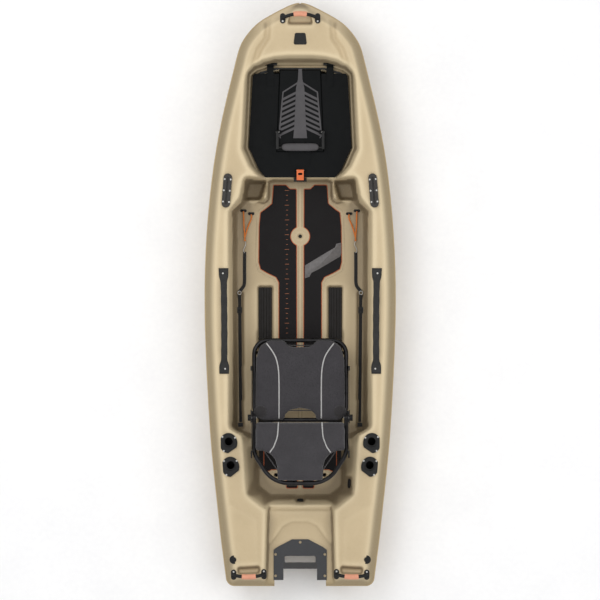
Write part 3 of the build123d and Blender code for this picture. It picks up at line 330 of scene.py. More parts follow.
def plain(name, low, high, scale=60, rough=(0.4, 0.6), grain=900, depth=0.0002, **values):
    """Moulded or coated stock: two close tones in soft patches, with a fine grain in the surface."""
    shader = Shader(name).set(**values)
    patches = shader.noise(scale, 4)
    fine = shader.noise(grain, 2)
    tone = shader.mix(0.35, patches, fine)
    shader.colour(shader.ramp(tone, (0.32, low), (0.68, high))).rough(patches, *rough).bump(fine, depth, 0.6)
    return shader.material


def moulded_hull():
    """Rotomoulded granite polyethylene, with painted shade in wells, on walls and on the outer band, and a
    painted highlight on raised edges, by the skin's attributes.
    """
    shader = Shader("hull_plastic_speckled").set(Specular_IOR_Level=0.35)
    broad, fine, specks = shader.noise(5, 5), shader.noise(700, 2), shader.cells(330)
    deck = shader.ramp(broad, (0.3, (184, 164, 128)), (0.7, (194, 174, 138)))
    # painted shade: walls and wells take this darker tone where the skin's shade attribute is high
    wall_shade_tone = shader.ramp(broad, (0.3, (108, 93, 68)), (0.7, (124, 107, 80)))
    base = shader.mix(shader.attribute("painted_shade"), deck, wall_shade_tone)
    # painted highlight: raised edges and the hatch lip are mixed paler
    base = shader.mix(shader.attribute("edge_highlight"), base, (212, 194, 158))
    # painted shade: the sloped outer band is mixed darker
    base = shader.mix(shader.attribute("band"), base, (146, 128, 92))
    base = shader.mix(shader.ramp(specks, (0.05, 0.30), (0.35, 0.0)), base, (112, 92, 66))
    base = shader.mix(shader.ramp(fine, (0.35, 0.16), (0.6, 0.0)), base, (243, 230, 206))
    shader.colour(base).rough(broad, 0.48, 0.62).bump(shader.noise(260, 3), 0.0006, 0.5)
    return shader.material


def hull_outside():
    """The same plastic below the seam, a little darker, with pale scuffs along the hull."""
    shader = Shader("hull_plastic_outside").set(Specular_IOR_Level=0.35)
    broad, fine, specks = shader.noise(4, 5), shader.noise(700, 2), shader.cells(330)
    base = shader.ramp(broad, (0.3, (170, 150, 116)), (0.7, (184, 164, 128)))
    base = shader.mix(shader.ramp(specks, (0.05, 0.30), (0.35, 0.0)), base, (112, 92, 66))
    scuffs = shader.noise(18, 8, stretch=(9, 0.6, 3), roughness=0.7)
    base = shader.mix(shader.ramp(scuffs, (0.62, 0.0), (0.72, 0.22)), base, (222, 208, 182))
    shader.colour(base).rough(broad, 0.45, 0.62).bump(fine, 0.0004, 0.5)
    return shader.material


def mat_foam():
    """Closed-cell foam with a pressed grain."""
    shader = Shader("mat_foam_grained").set(Specular_IOR_Level=0.25)
    pits = shader.cells(420)
    broad = shader.noise(14, 5)
    foam = shader.ramp(broad, (0.3, (19, 17, 18)), (0.7, (27, 25, 26)))
    shader.colour(shader.mix(shader.ramp(pits, (0.0, 0.35), (0.5, 0.0)), foam, (8, 7, 7)))
    shader.rough(broad, 0.75, 0.92).bump(pits, 0.0006, 0.8)
    return shader.material


def seat_mesh():
    """Dark spacer mesh: rows of small round openings over a paler yarn."""
    shader = Shader("seat_fabric_mesh").set(Specular_IOR_Level=0.2, Sheen_Weight=0.35, Sheen_Roughness=0.5)
    holes = shader.cells(260)
    patches = shader.noise(12, 4)
    yarn = shader.ramp(patches, (0.3, (52, 50, 53)), (0.7, (60, 58, 61)))
    shader.colour(shader.mix(shader.ramp(holes, (0.12, 0.85), (0.42, 0.0)), yarn, (20, 20, 21)))
    shader.rough(patches, 0.8, 0.95).bump(holes, 0.0009, 0.9)
    return shader.material


def woven(name, low, high, pitch=330, turn=0.0, **values):
    """Webbing or braid: a twill of two crossing waves."""
    shader = Shader(name).set(Specular_IOR_Level=0.25, Sheen_Weight=0.25, **values)
    weave = shader.math("MULTIPLY", shader.wave(pitch, "X", turn + 45), shader.wave(pitch, "Y", turn + 45))
    patches = shader.noise(40, 4)
    shader.colour(shader.ramp(shader.mix(0.4, weave, patches), (0.15, low), (0.65, high)))
    shader.rough(patches, 0.7, 0.9).bump(weave, 0.0006, 0.9)
    return shader.material


def brushed(name, low, high, rough=(0.25, 0.45)):
    """Metal with fine streaks along one axis."""
    shader = Shader(name).set(Metallic=0.9)
    streaks = shader.noise(300, 4, stretch=(6, 1, 1))
    patches = shader.noise(30, 4)
    shader.colour(shader.ramp(shader.mix(0.5, streaks, patches), (0.3, low), (0.7, high)))
    shader.rough(patches, *rough).bump(streaks, 0.0001, 0.4)
    return shader.material


MATERIALS = {
    "deck": moulded_hull(),
    "hull": hull_outside(),
    "mat": mat_foam(),
    "mesh": seat_mesh(),
    "lid": plain(
        "hatch_plastic_satin", (6, 8, 9), (11, 13, 14), 30, (0.45, 0.6), 1100, 0.00025,
        Specular_IOR_Level=0.1,
    ),
    "grille": plain("grille_plastic", (66, 64, 66), (80, 78, 80), 25, (0.5, 0.65), Specular_IOR_Level=0.3),
    "dark": plain("dark_plastic_satin", (10, 10, 10), (19, 19, 18), 50, (0.42, 0.6), Specular_IOR_Level=0.3),
    "track": plain("track_plastic", (26, 22, 18), (38, 33, 28), 50, (0.45, 0.62)),
    "rubber": plain("rubber_matt", (14, 14, 14), (24, 24, 23), 60, (0.6, 0.8)),
    "orange": plain("orange_rubber_matt", (196, 92, 42), (222, 112, 56), 60, (0.55, 0.75)),
    "mat_edge": plain("mat_edge_foam", (170, 84, 48), (198, 104, 62), 40, (0.7, 0.9)),
    "grip": plain("salmon_rubber_matt", (202, 136, 108), (224, 158, 128), 50, (0.55, 0.75)),
    "webbing": woven("webbing_twill", (18, 18, 18), (48, 47, 46)),
    "strap": woven("strap_twill", (22, 21, 22), (56, 54, 55), turn=12),
    "bungee": woven("bungee_braid", (190, 96, 34), (236, 146, 66), pitch=420),
    "piping": woven("piping_cord", (160, 159, 158), (206, 204, 202), pitch=520),
    "binding": woven("binding_tape", (34, 32, 33), (60, 57, 58), pitch=420),
    "tube": brushed("anodised_tube", (26, 26, 27), (52, 51, 52)),
    "bracket": plain("anodised_plate", (40, 41, 44), (52, 53, 56), 30, (0.4, 0.55), Metallic=0.2),
    "steel": brushed("steel_satin", (150, 149, 146), (198, 196, 192)),
    "board": plain("board_gloss", (24, 23, 24), (36, 35, 35), 30, (0.3, 0.45)),
    "print": plain("printed_grey", (104, 102, 102), (124, 121, 121), 80, (0.6, 0.8)),
    "ruler": plain("ruler_ink", (150, 92, 62), (172, 110, 78), 80, (0.6, 0.8)),
    "rail": plain("rail_plastic", (17, 14, 12), (27, 23, 20), 40, (0.5, 0.68), Specular_IOR_Level=0.25),
    "floor": plain("studio_floor", (243, 243, 244), (250, 250, 250), 3, (0.8, 0.9), 40, 0.00005),
}

NODE_MATERIALS = {
    "hull": ["hull_shell"],
    "lid": ["hatch_lid"],
    "grille": ["hatch_grille", "bail_grip"],
    "dark": [
        "hatch_bail", "hinge_blocks", "latch_keeper", "rod_holder_fore_port", "rod_holder_fore_starboard",
        "rod_holder_aft_port", "rod_holder_aft_starboard", "plug_bushes", "drain_plug_port",
        "drain_plug_starboard", "badge_plate",
        "bow_handle", "stern_handles", "tie_padeyes", "tie_sliders", "web_anchors", "recline_knob_port",
        "recline_knob_starboard", "pan_buckles", "back_buckles",
    ],
    "track": ["gear_track_port", "gear_track_starboard"],
    "rubber": ["hatch_gasket", "carry_straps", "cable_grommet", "wall_grommet"],
    "orange": ["latch_pull"],
    "mat_edge": ["mat_bases", "aft_mat_bases", "aft_pad_bases"],
    "mat": ["mat_tops", "aft_mat_tops", "aft_pad_tops"],
    "grip": ["bow_grip", "stern_grips"],
    "tube": ["seat_frame", "back_frame"],
    "rail": ["seat_rails"],
    "bracket": ["motor_bracket"],
    "board": ["transom_board"],
    "steel": ["deck_screws", "hinge_pins", "bail_pins", "latch_pin", "seat_pins", "strap_hooks", "tie_rings"],
}
BEVELS = {  # node: width in millimetres
    "hatch_lid": 1.6, "hatch_grille": 0.6, "hatch_bail": 1.2, "bail_grip": 1.0, "hinge_blocks": 1.5,
    "latch_keeper": 1.0, "latch_pull": 1.2, "badge_plate": 0.8, "mat_tops": 1.2, "aft_mat_tops": 1.2,
    "aft_pad_tops": 1.2, "motor_bracket": 1.2, "transom_board": 2.0, "gear_track_port": 0.8,
    "gear_track_starboard": 0.8, "pan_buckles": 1.2, "back_buckles": 1.2, "tie_sliders": 0.8,
    "web_anchors": 0.8, "seat_rails": 1.0, "carry_straps": 1.0,
}


def dress(node, key):
    """Gives a CAD node its material, and its bevel where BEVELS names one."""
    piece = NODES[node]
    piece.data.materials.clear()
    piece.data.materials.append(MATERIALS[key])
    if node in BEVELS:
        bevel = piece.modifiers.new("edge", "BEVEL")
        bevel.width = BEVELS[node] * MM
        bevel.segments = 3
        bevel.limit_method = "ANGLE"
        bevel.angle_limit = math.radians(35)
        bevel.harden_normals = True
        piece.data.shade_smooth()


for key, names in NODE_MATERIALS.items():
    for name in names:
        dress(name, key)


# ---------------------------------------------------------------- mesh helpers
def add_piece(name, points, faces, key, body, slot):
    """A mesh piece from points in millimetres that rides on a body and takes its key's material; slot is not
    used.
    """
    mesh = bpy.data.meshes.new(name)
    mesh.from_pydata([tuple(float(c) * MM for c in p) for p in points], [], faces)
    mesh.update()
    mesh.shade_smooth()
    piece = bpy.data.objects.new(name, mesh)
    bpy.context.scene.collection.objects.link(piece)
    piece.data.materials.append(MATERIALS[key])
    if body:
        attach(piece, body)
    return piece


def sweep(path, section, closed=False, up=(0, 0, 1)):
    """Points and faces of a section swept along a path, with capped ends."""
    path = [Vector(p) for p in path]
    count, size = len(path), len(section)
    points, faces = [], []
    for i, here in enumerate(path):
        ahead = path[(i + 1) % count] if closed or i + 1 < count else here
        behind = path[i - 1] if closed or i else here
        along = (ahead - behind).normalized()
        side = along.cross(Vector(up))
        side = side.normalized() if side.length > 1e-6 else Vector((1, 0, 0))
        over = side.cross(along)
        points += [here + side * a + over * b for a, b in section]
    for i in range(count if closed else count - 1):
        j = (i + 1) % count
        for k in range(size):
            m = (k + 1) % size
            faces.append((i * size + k, i * size + m, j * size + m, j * size + k))
    if not closed:
        faces.append(tuple(reversed(range(size))))
        faces.append(tuple((count - 1) * size + k for k in range(size)))
    return points, faces


def ring(radius, steps):
    """The round section of a cord or a bead."""
    angles = [2 * math.pi * k / steps for k in range(steps)]
    return [(radius * math.cos(a), radius * math.sin(a)) for a in angles]


def band(width, thickness):
    """A ribbon's section with soft edges."""
    w, t, r = width / 2, thickness / 2, thickness * 0.35
    under = [(-w, -t + r), (-w + r, -t), (0, -t * 1.05), (w - r, -t), (w, -t + r)]
    return under + [(x, -z) for x, z in reversed(under)]


def smooth_path(points, step=6.0):
    """A curve through the points, sampled about every step."""
    points = [Vector(p) for p in points]
    padded = [points[0] * 2 - points[1], *points, points[-1] * 2 - points[-2]]
    out = []
    for a, b, c, d in zip(padded, padded[1:], padded[2:], padded[3:]):
        count = max(1, int((c - b).length / step))
        for k in range(count):
            t = k / count
            bend, twist = 2 * a - 5 * b + 4 * c - d, 3 * b - a - 3 * c + d
            out.append(0.5 * (2 * b + (c - a) * t + bend * t * t + twist * t ** 3))
    return out + [points[-1]]


def merge(parts):
    """One list of points and faces from several."""
    points, faces = [], []
    for more, more_faces in parts:
        base = len(points)
        points += list(more)
        faces += [tuple(i + base for i in face) for face in more_faces]
    return points, faces


def port(points):
    """A starboard path mirrored to the port side."""
    return [(-p[0], *p[1:]) for p in points]


# ---------------------------------------------------------------- the moulded deck, one skin for four nodes
def hull_rim():
    """The hull's starboard rim at the seam, stern to bow: the convex side of the shell's points."""
    mesh = NODES["hull_shell"].data
    co = np.empty(len(mesh.vertices) * 3)
    mesh.vertices.foreach_get("co", co)
    co = co.reshape(-1, 3) / MM
    at_seam = co[(np.abs(co[:, 2] - seam_height(co[:, 1])) < 0.4) & (co[:, 0] > -1)]
    chain = []
    for x, y, _ in at_seam[np.argsort(at_seam[:, 1])]:
        while len(chain) > 1:
            (ax, ay), (bx, by) = chain[-2:]
            if (bx - ax) * (y - ay) - (by - ay) * (x - ax) <= 0:
                chain.pop()
            else:
                break
        chain.append((x, y))
    return chain


RIM = hull_rim()
RIM_X, RIM_Y = (np.array([p[k] for p in RIM]) for k in (0, 1))
OUTLINE = list(zip(RIM_X, RIM_Y)) + [(-x, y) for x, y in reversed(RIM)]


def well(x, y, z, floor, edge, height, crease, curve=1.0):
    """Sinks z to height inside the floor outline, with walls that reach the deck at the edge outline."""
    to_floor = distance(x, y, rounded(floor, crease))
    to_edge = distance(x, y, rounded(edge, crease))
    share = np.clip(to_floor / np.maximum(to_floor - to_edge, 1e-3), 0, 1)
    share = np.where(to_edge >= 0, 1.0, share)
    return np.minimum(z, height + (z - height) * share ** curve)


def dip(x, y, z, outline, depth, soft, crease=20):
    """Lowers (or, with a negative depth, raises) z inside an outline, over a soft edge."""
    away = distance(x, y, rounded(outline, crease))
    return z - depth * smooth(0.5 - away / soft)


def deck_surface(x, y):
    """Height of the moulded deck at each point."""
    inward = -distance(x, y, OUTLINE)
    top = deck_height(y)
    z = seam_height(y) + DECK_RISE * np.clip(inward / BAND, 0, 1) ** 0.9
    # raised panels astern, two valleys on the foredeck, and the handles' scoops
    for side, mirror in per_side():
        z = dip(x, y, z, mirror(SIDE_PANEL), -4, 16)
        valley = open_distance(x, y, mirror(VALLEY))
        z = z - 14 * smooth(1 - valley / 26)
        z = dip(x, y, z, mirror(STERN_SCOOP), 26, 12, 12)
    z = dip(x, y, z, BOW_SCOOP, 26, 12, 12)
    # hatch recess with a lip round it, its coaming and the tub
    z = well(x, y, z, grown(HATCH, 10), HATCH_EDGE, HATCH_FLOOR, crease=30)
    z = z + 20 * smooth(1 - np.abs(distance(x, y, HATCH_LIP)) / 9) * (z < top - 20)
    coaming = distance(x, y, rounded(HATCH, 30))
    z = np.where((coaming < -8) & (coaming > -20), COAMING, z)
    tub_wall = smooth((coaming + 44) / 20) * (coaming > -44)
    z = np.where(coaming <= -20, TUB_FLOOR + (COAMING - TUB_FLOOR) * tub_wall, z)
    # cockpit, its foot wells, channels and rail slots
    z = well(x, y, z, FLOOR_OUTLINE, FLOOR_EDGE, FLOOR, crease=30, curve=0.85)
    floor = distance(x, y, rounded(FLOOR_OUTLINE, 30)) < 0
    for side, mirror in per_side():
        heel = mirror(FOOT_WELL)
        z = well(x, y, z, heel, grown(heel, 34), FOOT_FLOOR, crease=16)
        channel, slot = mirror(STRAP_CHANNEL), mirror(RAIL_SLOT)
        z = np.where(floor, well(x, y, z, channel, grown(channel, 5), CHANNEL_FLOOR, crease=8), z)
        z = np.where(floor, well(x, y, z, slot, grown(slot, 4), RAIL_FLOOR, crease=6), z)
        boss = np.hypot(x - side * SCUPPER[0], y - SCUPPER[1])
        z = z + 4 * smooth(1 - np.abs(boss - 19) / 7) * floor
    # the hub's rings and its socket, the spine between the mats, and the mats' borders
    hub = np.hypot(x - HUB[0], y - HUB[1])
    for radius, rise in HUB_RINGS:
        z = z + rise * smooth(1 - np.abs(hub - radius) / 6.5) * floor
    z = z - 9 * smooth((16 - hub) / 8) * floor
    spine = (np.abs(x) < 13) & (y > -1020) & (y < 560) & (hub > 50)
    z = z + 3.5 * smooth(1 - np.abs(x) / 8) * spine
    for side, mirror in per_side():
        for outline in (MAT, AFT_MAT, AFT_PAD):
            border = smooth(1 - np.abs(distance(x, y, mirror(outline)) - 9) / 5.5)
            z = z + 3.0 * border * floor * (np.abs(x) > 12)
    z = dip(x, y, z, WALL_GROMMET, 18, 12, 8)
    z = dip(x, y, z, CABLE_GROMMET, 18, 12, 6)
    # stern shelf with the stepped arch
    z = well(x, y, z, STERN_SHELF, grown(STERN_SHELF, 26), STERN_FLOOR - 0.6, crease=18)
    inner = distance(x, y, rounded(STERN_ARCH, 24))
    ahead = (y > -1290) & (np.abs(x) < 176) & (y < -1108)
    z = z + 10 * smooth(inner / 7) * ahead * (z < STERN_FLOOR + 3)
    return z


def blurred(z, sigma_rows, sigma_columns):
    """A Gaussian blur of the mapped grid."""
    for axis, sigma in ((0, sigma_rows), (1, sigma_columns)):
        reach = max(1, int(3 * sigma))
        weights = np.exp(-0.5 * (np.arange(-reach, reach + 1) / sigma) ** 2)
        weights /= weights.sum()
        pad = [(reach, reach) if k == axis else (0, 0) for k in (0, 1)]
        wide = np.pad(z, pad, "edge")
        length = z.shape[axis]
        z = sum(w * np.take(wide, np.arange(k, k + length), axis) for k, w in enumerate(weights))
    return z


def snapped(x, y, outline, reach):
    """Moves the points that lie within reach of an outline onto it."""
    points = np.array(outline, float)
    best, near_x, near_y = np.full(x.shape, 1e18), x.copy(), y.copy()
    for (ax, ay), (bx, by) in zip(points, np.roll(points, -1, axis=0)):
        ex, ey = bx - ax, by - ay
        t = np.clip(((x - ax) * ex + (y - ay) * ey) / max(ex * ex + ey * ey, 1e-9), 0, 1)
        px, py = ax + ex * t, ay + ey * t
        away = (x - px) ** 2 + (y - py) ** 2
        closer = away < best
        best = np.where(closer, away, best)
        near_x, near_y = np.where(closer, px, near_x), np.where(closer, py, near_y)
    take = best < reach * reach
    return np.where(take, near_x, x), np.where(take, near_y, y), take


def deck_grid():
    """The skin's points across and along, snapped to the edges of its holes, and which stand in a hole."""
    stations = np.linspace(STERN + 0.4, BOW - 0.6, ROWS)
    share = np.linspace(-1, 1, COLUMNS)
    half = np.interp(stations, RIM_Y, RIM_X)
    x = half[:, None] * share[None, :]
    y = np.repeat(stations[:, None], COLUMNS, 1)
    holes = [NOTCH_INNER]
    for side in (1, -1):
        holes.append(circle(side * SCUPPER[0], SCUPPER[1], 10, COARSE_TURN))
        holes += [circle(side * hx, hy, 33) for hx, hy in ROD_HOLDERS]
    inside = np.zeros(x.shape, bool)
    for hole in holes:
        x, y, taken = snapped(x, y, hole, 3.1)
        inside |= (distance(x, y, hole) < -0.5) & ~taken
    return x, y, inside, holes


def deck_tones(x, y, z):
    """Where the skin takes painted shade in its wells, on steep walls and in its outer band, and a painted
    highlight on its raised edges.
    """
    depth = deck_height(y) - z
    relief = z - blurred(z, 3.5, 3.5)
    wide_relief = z - blurred(z, 9, 9)
    slope_y, slope_x = np.gradient(z)
    steep = np.hypot(slope_x / 5.5, slope_y / 5.4)
    # Painted shade: darker on steep walls, in broad hollows and deeper down the wells.
    painted_shade = smooth((steep - 0.3) / 1.0) * 0.9 + np.clip(-wide_relief / 45, 0, 0.5)
    painted_shade = np.clip(painted_shade + smooth((depth - 60) / 160) * 0.26, 0, 1)
    # Painted highlight: paler on raised ridges and along the hatch's lip.
    edge_highlight = np.clip(relief / 9, 0, 0.8)
    lip_highlight = smooth(1 - np.abs(distance(x, y, HATCH_LIP)) / 6) * (np.abs(z - LIP_HEIGHT) < 22)
    edge_highlight = np.maximum(edge_highlight, 0.75 * lip_highlight)
    level = np.abs(z - FLOOR) < 9
    # Painted shade: dark lines along the outer feet of the mats' border ridges.
    for outline in (MAT, mirrored(MAT), AFT_MAT, mirrored(AFT_MAT), AFT_PAD, mirrored(AFT_PAD)):
        line = smooth(1 - np.abs(distance(x, y, outline) - 12) / 5) * level * (np.abs(x) > 14)
        painted_shade = np.maximum(painted_shade, 0.72 * line)
    # Painted shade: dark lines along both feet of the spine ridge, clear of the hub.
    spine_foot_shade = smooth(1 - np.abs(np.abs(x) - 8.5) / 4.5) * level
    spine_foot_shade = spine_foot_shade * (np.abs(y) < 1000) * (np.hypot(x, y - HUB[1]) > 48)
    painted_shade = np.maximum(painted_shade, 0.66 * spine_foot_shade)
    inward = -distance(x, y, OUTLINE)
    # Painted shade on the sloped outer band, fading out towards the bow.
    band_shade = 0.88 * smooth(1.15 - inward / 46) * smooth((1430 - y) / 120)
    return {"painted_shade": painted_shade, "edge_highlight": edge_highlight, "band": band_shade}


def build_deck():
    """The skin: a grid mapped to the hull's rim, raised to the deck's surface and cut at its holes."""
    x, y, inside, holes = deck_grid()
    z = blurred(deck_surface(x, y), 1.1, 1.15)
    rim = np.zeros(x.shape, bool)
    rim[:, 0] = rim[:, -1] = True
    z = np.where(rim, seam_height(y), z)
    z = np.minimum(z, deck_height(y) + 8)
    tones = deck_tones(x, y, z)
    index = np.arange(x.size).reshape(x.shape)
    quads = np.stack([index[:-1, :-1], index[:-1, 1:], index[1:, 1:], index[1:, :-1]], -1).reshape(-1, 4)
    quads = quads[~inside.ravel()[quads].any(1)]
    for hole in holes:
        centre_x, centre_y = x.ravel()[quads].mean(1), y.ravel()[quads].mean(1)
        quads = quads[distance(centre_x, centre_y, hole) > -0.2]
    used = np.unique(quads)
    renumber = np.full(x.size, -1)
    renumber[used] = np.arange(len(used))
    points = np.stack([x.ravel()[used], y.ravel()[used], z.ravel()[used]], 1)
    faces = [tuple(quad) for quad in renumber[quads].tolist()]
    skin = add_piece("deck_skin", points, faces, "deck", "hull", "hull_plastic")
    for name, values in tones.items():
        layer = skin.data.attributes.new(name, "FLOAT", "POINT")
        layer.data.foreach_set("value", values.ravel()[used].astype(np.float32))
    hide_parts("deck_bow", "deck_starboard", "deck_port", "deck_stern")


build_deck()
beads = [sweep([(side * x, y, seam_height(y) - 1) for x, y in RIM], ring(4, 8)) for side in (1, -1)]
add_piece("seam_bead", *merge(beads), "hull", "hull", "hull_plastic")


# ---------------------------------------------------------------- soft goods
def cushion(name, node, outline, place, thickness, cap, body):
    """A padded panel: an outline's slab, remeshed, swollen by cloth pressure, capped and smoothed.

    place takes a distance across, along and up to a point.
    """
    half = thickness / 2
    count = len(outline)
    points = [place(x, y, side * half * 0.8) for side in (-1, 1) for x, y in outline]
    faces = [tuple(reversed(range(count))), tuple(range(count, 2 * count))]
    faces += walls(2, count)
    piece = add_piece(name, points, faces, "mesh", body, "seat_fabric")
    remesh = piece.modifiers.new("remesh", "REMESH")
    remesh.mode = "VOXEL"
    remesh.voxel_size = 0.0055
    apply_modifiers(piece)
    piece.data.materials.clear()
    piece.data.materials.append(MATERIALS["mesh"])
    swell(piece, cap * MM)
    soften(piece, 8)
    piece.data.shade_smooth()
    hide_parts(node)
    return piece


def apply_modifiers(piece):
    """Replaces the piece's mesh by what its modifiers make of it."""
    bpy.context.view_layer.update()
    graph = bpy.context.evaluated_depsgraph_get()
    mesh = bpy.data.meshes.new_from_object(piece.evaluated_get(graph))
    piece.modifiers.clear()
    piece.data = mesh


def vertex_array(mesh):
    co = np.empty(len(mesh.vertices) * 3)
    mesh.vertices.foreach_get("co", co)
    return co.reshape(-1, 3)


def swell(piece, cap):
    """Blows the piece up with cloth pressure, and lets no point move further than cap."""
    scene = bpy.context.scene
    before = vertex_array(piece.data)
    cloth = piece.modifiers.new("cloth", "CLOTH")
    cloth.settings.use_pressure = True
    cloth.settings.uniform_pressure_force = 4
    cloth.settings.quality = 4
    cloth.settings.effector_weights.gravity = 0
    scene.frame_start, scene.frame_end = 1, 20
    for frame_number in range(1, 21):
        scene.frame_set(frame_number)
    apply_modifiers(piece)
    scene.frame_set(1)
    after = vertex_array(piece.data)
    move = after - before
    far = np.linalg.norm(move, axis=1, keepdims=True)
    capped = before + move * np.minimum(1, cap / np.maximum(far, 1e-9))
    piece.data.vertices.foreach_set("co", capped.ravel())
    piece.data.update()


def soften(piece, rounds):
    """Evens out the remeshed surface."""
    smoother = piece.modifiers.new("smooth", "SMOOTH")
    smoother.iterations = rounds
    smoother.factor = 0.5
    apply_modifiers(piece)


def on_surface(piece, points, direction, lift=0.0, step=6.0):
    """The path through the points, dropped along a direction onto the piece."""
    tree = BVHTree.FromObject(piece, bpy.context.evaluated_depsgraph_get())
    along = Vector(direction).normalized()
    out = []
    for point in smooth_path(points, step):
        hit = tree.ray_cast(point * MM - along * 0.25, along)
        if hit[0] is not None:
            out.append(hit[0] / MM - along * lift)
    return out


BACK_ANGLE = math.radians(32)
HINGE = Vector((0, -634, 340))
BACK_ALONG = Vector((0, -math.cos(BACK_ANGLE), math.sin(BACK_ANGLE)))
BACK_OUT = Vector((0, math.sin(BACK_ANGLE), math.cos(BACK_ANGLE)))

PAN_OUTLINE = rounded([
    (81, -231), (170, -231), (214, -262), (236, -330), (238, -600), (226, -638), (190, -650), (84, -650),
    (80, -626), (56, -602), (0, -592), (-56, -602), (-80, -626), (-84, -650), (-190, -650), (-226, -638),
    (-238, -600), (-236, -330), (-214, -262), (-170, -231), (-81, -231), (-68, -252), (-40, -263), (40, -263),
    (68, -252),
], 26, 4)
BACK_OUTLINE = rounded([
    (-230, 34), (-238, 90), (-238, 208), (-196, 214), (-158, 236), (-134, 272), (-124, 320), (-118, 398),
    (118, 398), (124, 320), (134, 272), (158, 236), (196, 214), (238, 208), (238, 90), (230, 34),
], 14, 3)
PAN_MIDDLE = 293.5
BACK_MIDDLE = 21.5
PAD_THICKNESS = 18


def on_pan_plane(x, y, up):
    return (x, y, PAN_MIDDLE + up)


def on_back_plane(x, along, up):
    return tuple(HINGE + Vector((x, 0, 0)) + BACK_ALONG * along + BACK_OUT * (BACK_MIDDLE + up))


pan = cushion("seat_pan_pad", "pan_pad", PAN_OUTLINE, on_pan_plane, PAD_THICKNESS, 7, "seat")
back = cushion("seat_back_pad", "back_pad", BACK_OUTLINE, on_back_plane, PAD_THICKNESS, 8, "seat_back")


def seams(name, piece, paths, direction, body):
    """Piping laid on a pad along the paths, each dropped onto it along the direction."""
    parts = []
    for path in paths:
        line = on_surface(piece, path, direction)
        if len(line) > 2:
            parts.append(sweep(line, ring(PIPING_RADIUS, 8)))
    return add_piece(name, *merge(parts), "piping", body, "seat_fabric")


PIPING_RADIUS = 3.4
ABOVE_PAN = 400  # rays to the pan start at this height
PAN_LINE = [(178, -246), (146, -288), (124, -330), (112, -389), (109, -470), (109, -644)]
PAN_PIPING = [(x, y, ABOVE_PAN) for x, y in PAN_LINE]
DOWN = (0, 0, -1)
seams("seat_pan_piping", pan, [PAN_PIPING, port(PAN_PIPING)], DOWN, "seat")


def on_back(points):
    """Points given across and along the back, in front of its plane."""
    return [tuple(HINGE + Vector((x, 0, 0)) + BACK_ALONG * along + BACK_OUT * 60) for x, along in points]


BACK_LINE = [(112, 46), (114, 90), (118, 138), (130, 180), (140, 206), (156, 226)]
BACK_PIPING = [on_back([(side * x, along) for x, along in BACK_LINE]) for side in (1, -1)]
seams("seat_back_piping", back, BACK_PIPING, -BACK_OUT, "seat_back")


def hem(name, piece, direction, outline, body):
    """A bound edge that follows the pad's outline a little inside it."""
    line = on_surface(piece, outline + outline[:1], direction, -1.0)
    points, faces = sweep(line[:-1], ring(BINDING_RADIUS, 8), closed=True)
    return add_piece(name, points, faces, "binding", body, "seat_fabric")


def inset(outline, amount):
    """The outline moved inward along its normals."""
    points = np.array(outline, float)
    along = np.roll(points, -1, 0) - np.roll(points, 1, 0)
    along /= np.linalg.norm(along, axis=1, keepdims=True)
    area = np.sum(points[:, 0] * np.roll(points[:, 1], -1) - np.roll(points[:, 0], -1) * points[:, 1])
    side = 1 if area > 0 else -1
    return [tuple(p) for p in points + np.stack([-along[:, 1], along[:, 0]], 1) * amount * side]


BINDING_RADIUS = 2.6
hem("seat_pan_binding", pan, DOWN, [(x, y, ABOVE_PAN) for x, y in inset(PAN_OUTLINE, 7)], "seat")
hem("seat_back_binding", back, -BACK_OUT, on_back(inset(BACK_OUTLINE, 7)), "seat_back")


def gusset(name, across):
    """The round patch at a hinge, domed over the pan pad."""
    tree = BVHTree.FromObject(pan, bpy.context.evaluated_depsgraph_get())
    points = []
    profile = ((34, 0.4), (33, 2.2), (28, 3.6), (18, 4.6), (7, 5.0))
    count = FINE_TURN - 1
    for radius, lift in profile:
        for x, y in circle(across, 0, radius):
            y = -603 + y * 0.92
            hit = tree.ray_cast(Vector((x, y, 450)) * MM, Vector(DOWN))[0]
            points.append((x, y, (hit.z / MM if hit is not None else 296) + lift))
    top = (len(profile) - 1) * count
    faces = [tuple(range(top, top + count))] + walls(len(profile), count)
    add_piece(name, points, faces, "binding", "seat", "seat_fabric")


gusset("seat_gusset_starboard", 206)
gusset("seat_gusset_port", -206)


def ribbon(name, paths, width, thickness, key, body, slot, replaced, across=(0, 0, 1)):
    points, faces = merge([sweep(smooth_path(path, 8), band(width, thickness), up=across) for path in paths])
    piece = add_piece(name, points, faces, key, body, slot)
    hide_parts(replaced)
    return piece


FORE_WEB = [(287, 220, 131.5), (287.5, 140, 131.7), (288, 60, 131.4), (296, 38, 131.6), (314, 16, 131.5)]
AFT_WEB = [
    (314, -2, 131.0), (313.4, -12, 122.0), (313, -22, 116), (312, -80, 115.4), (309, -400, 115.8),
    (306, -658, 115.4),
]
WEBS = [FORE_WEB, AFT_WEB, port(FORE_WEB), port(AFT_WEB)]
ribbon("tie_webbing", WEBS, 17, 1.9, "webbing", "hull", "webbing", "tie_webs")

STRAP_RUN = [(251, -392, 288), (251, -500, 330.5), (251, -640, 385.6), (251, -796, 446)]
STRAPS = [STRAP_RUN, port(STRAP_RUN)]
strap = ribbon("recline_webbing", STRAPS, 18, 2.2, "strap", None, "webbing", "recline_straps", (1, 0, 0))
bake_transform(strap)

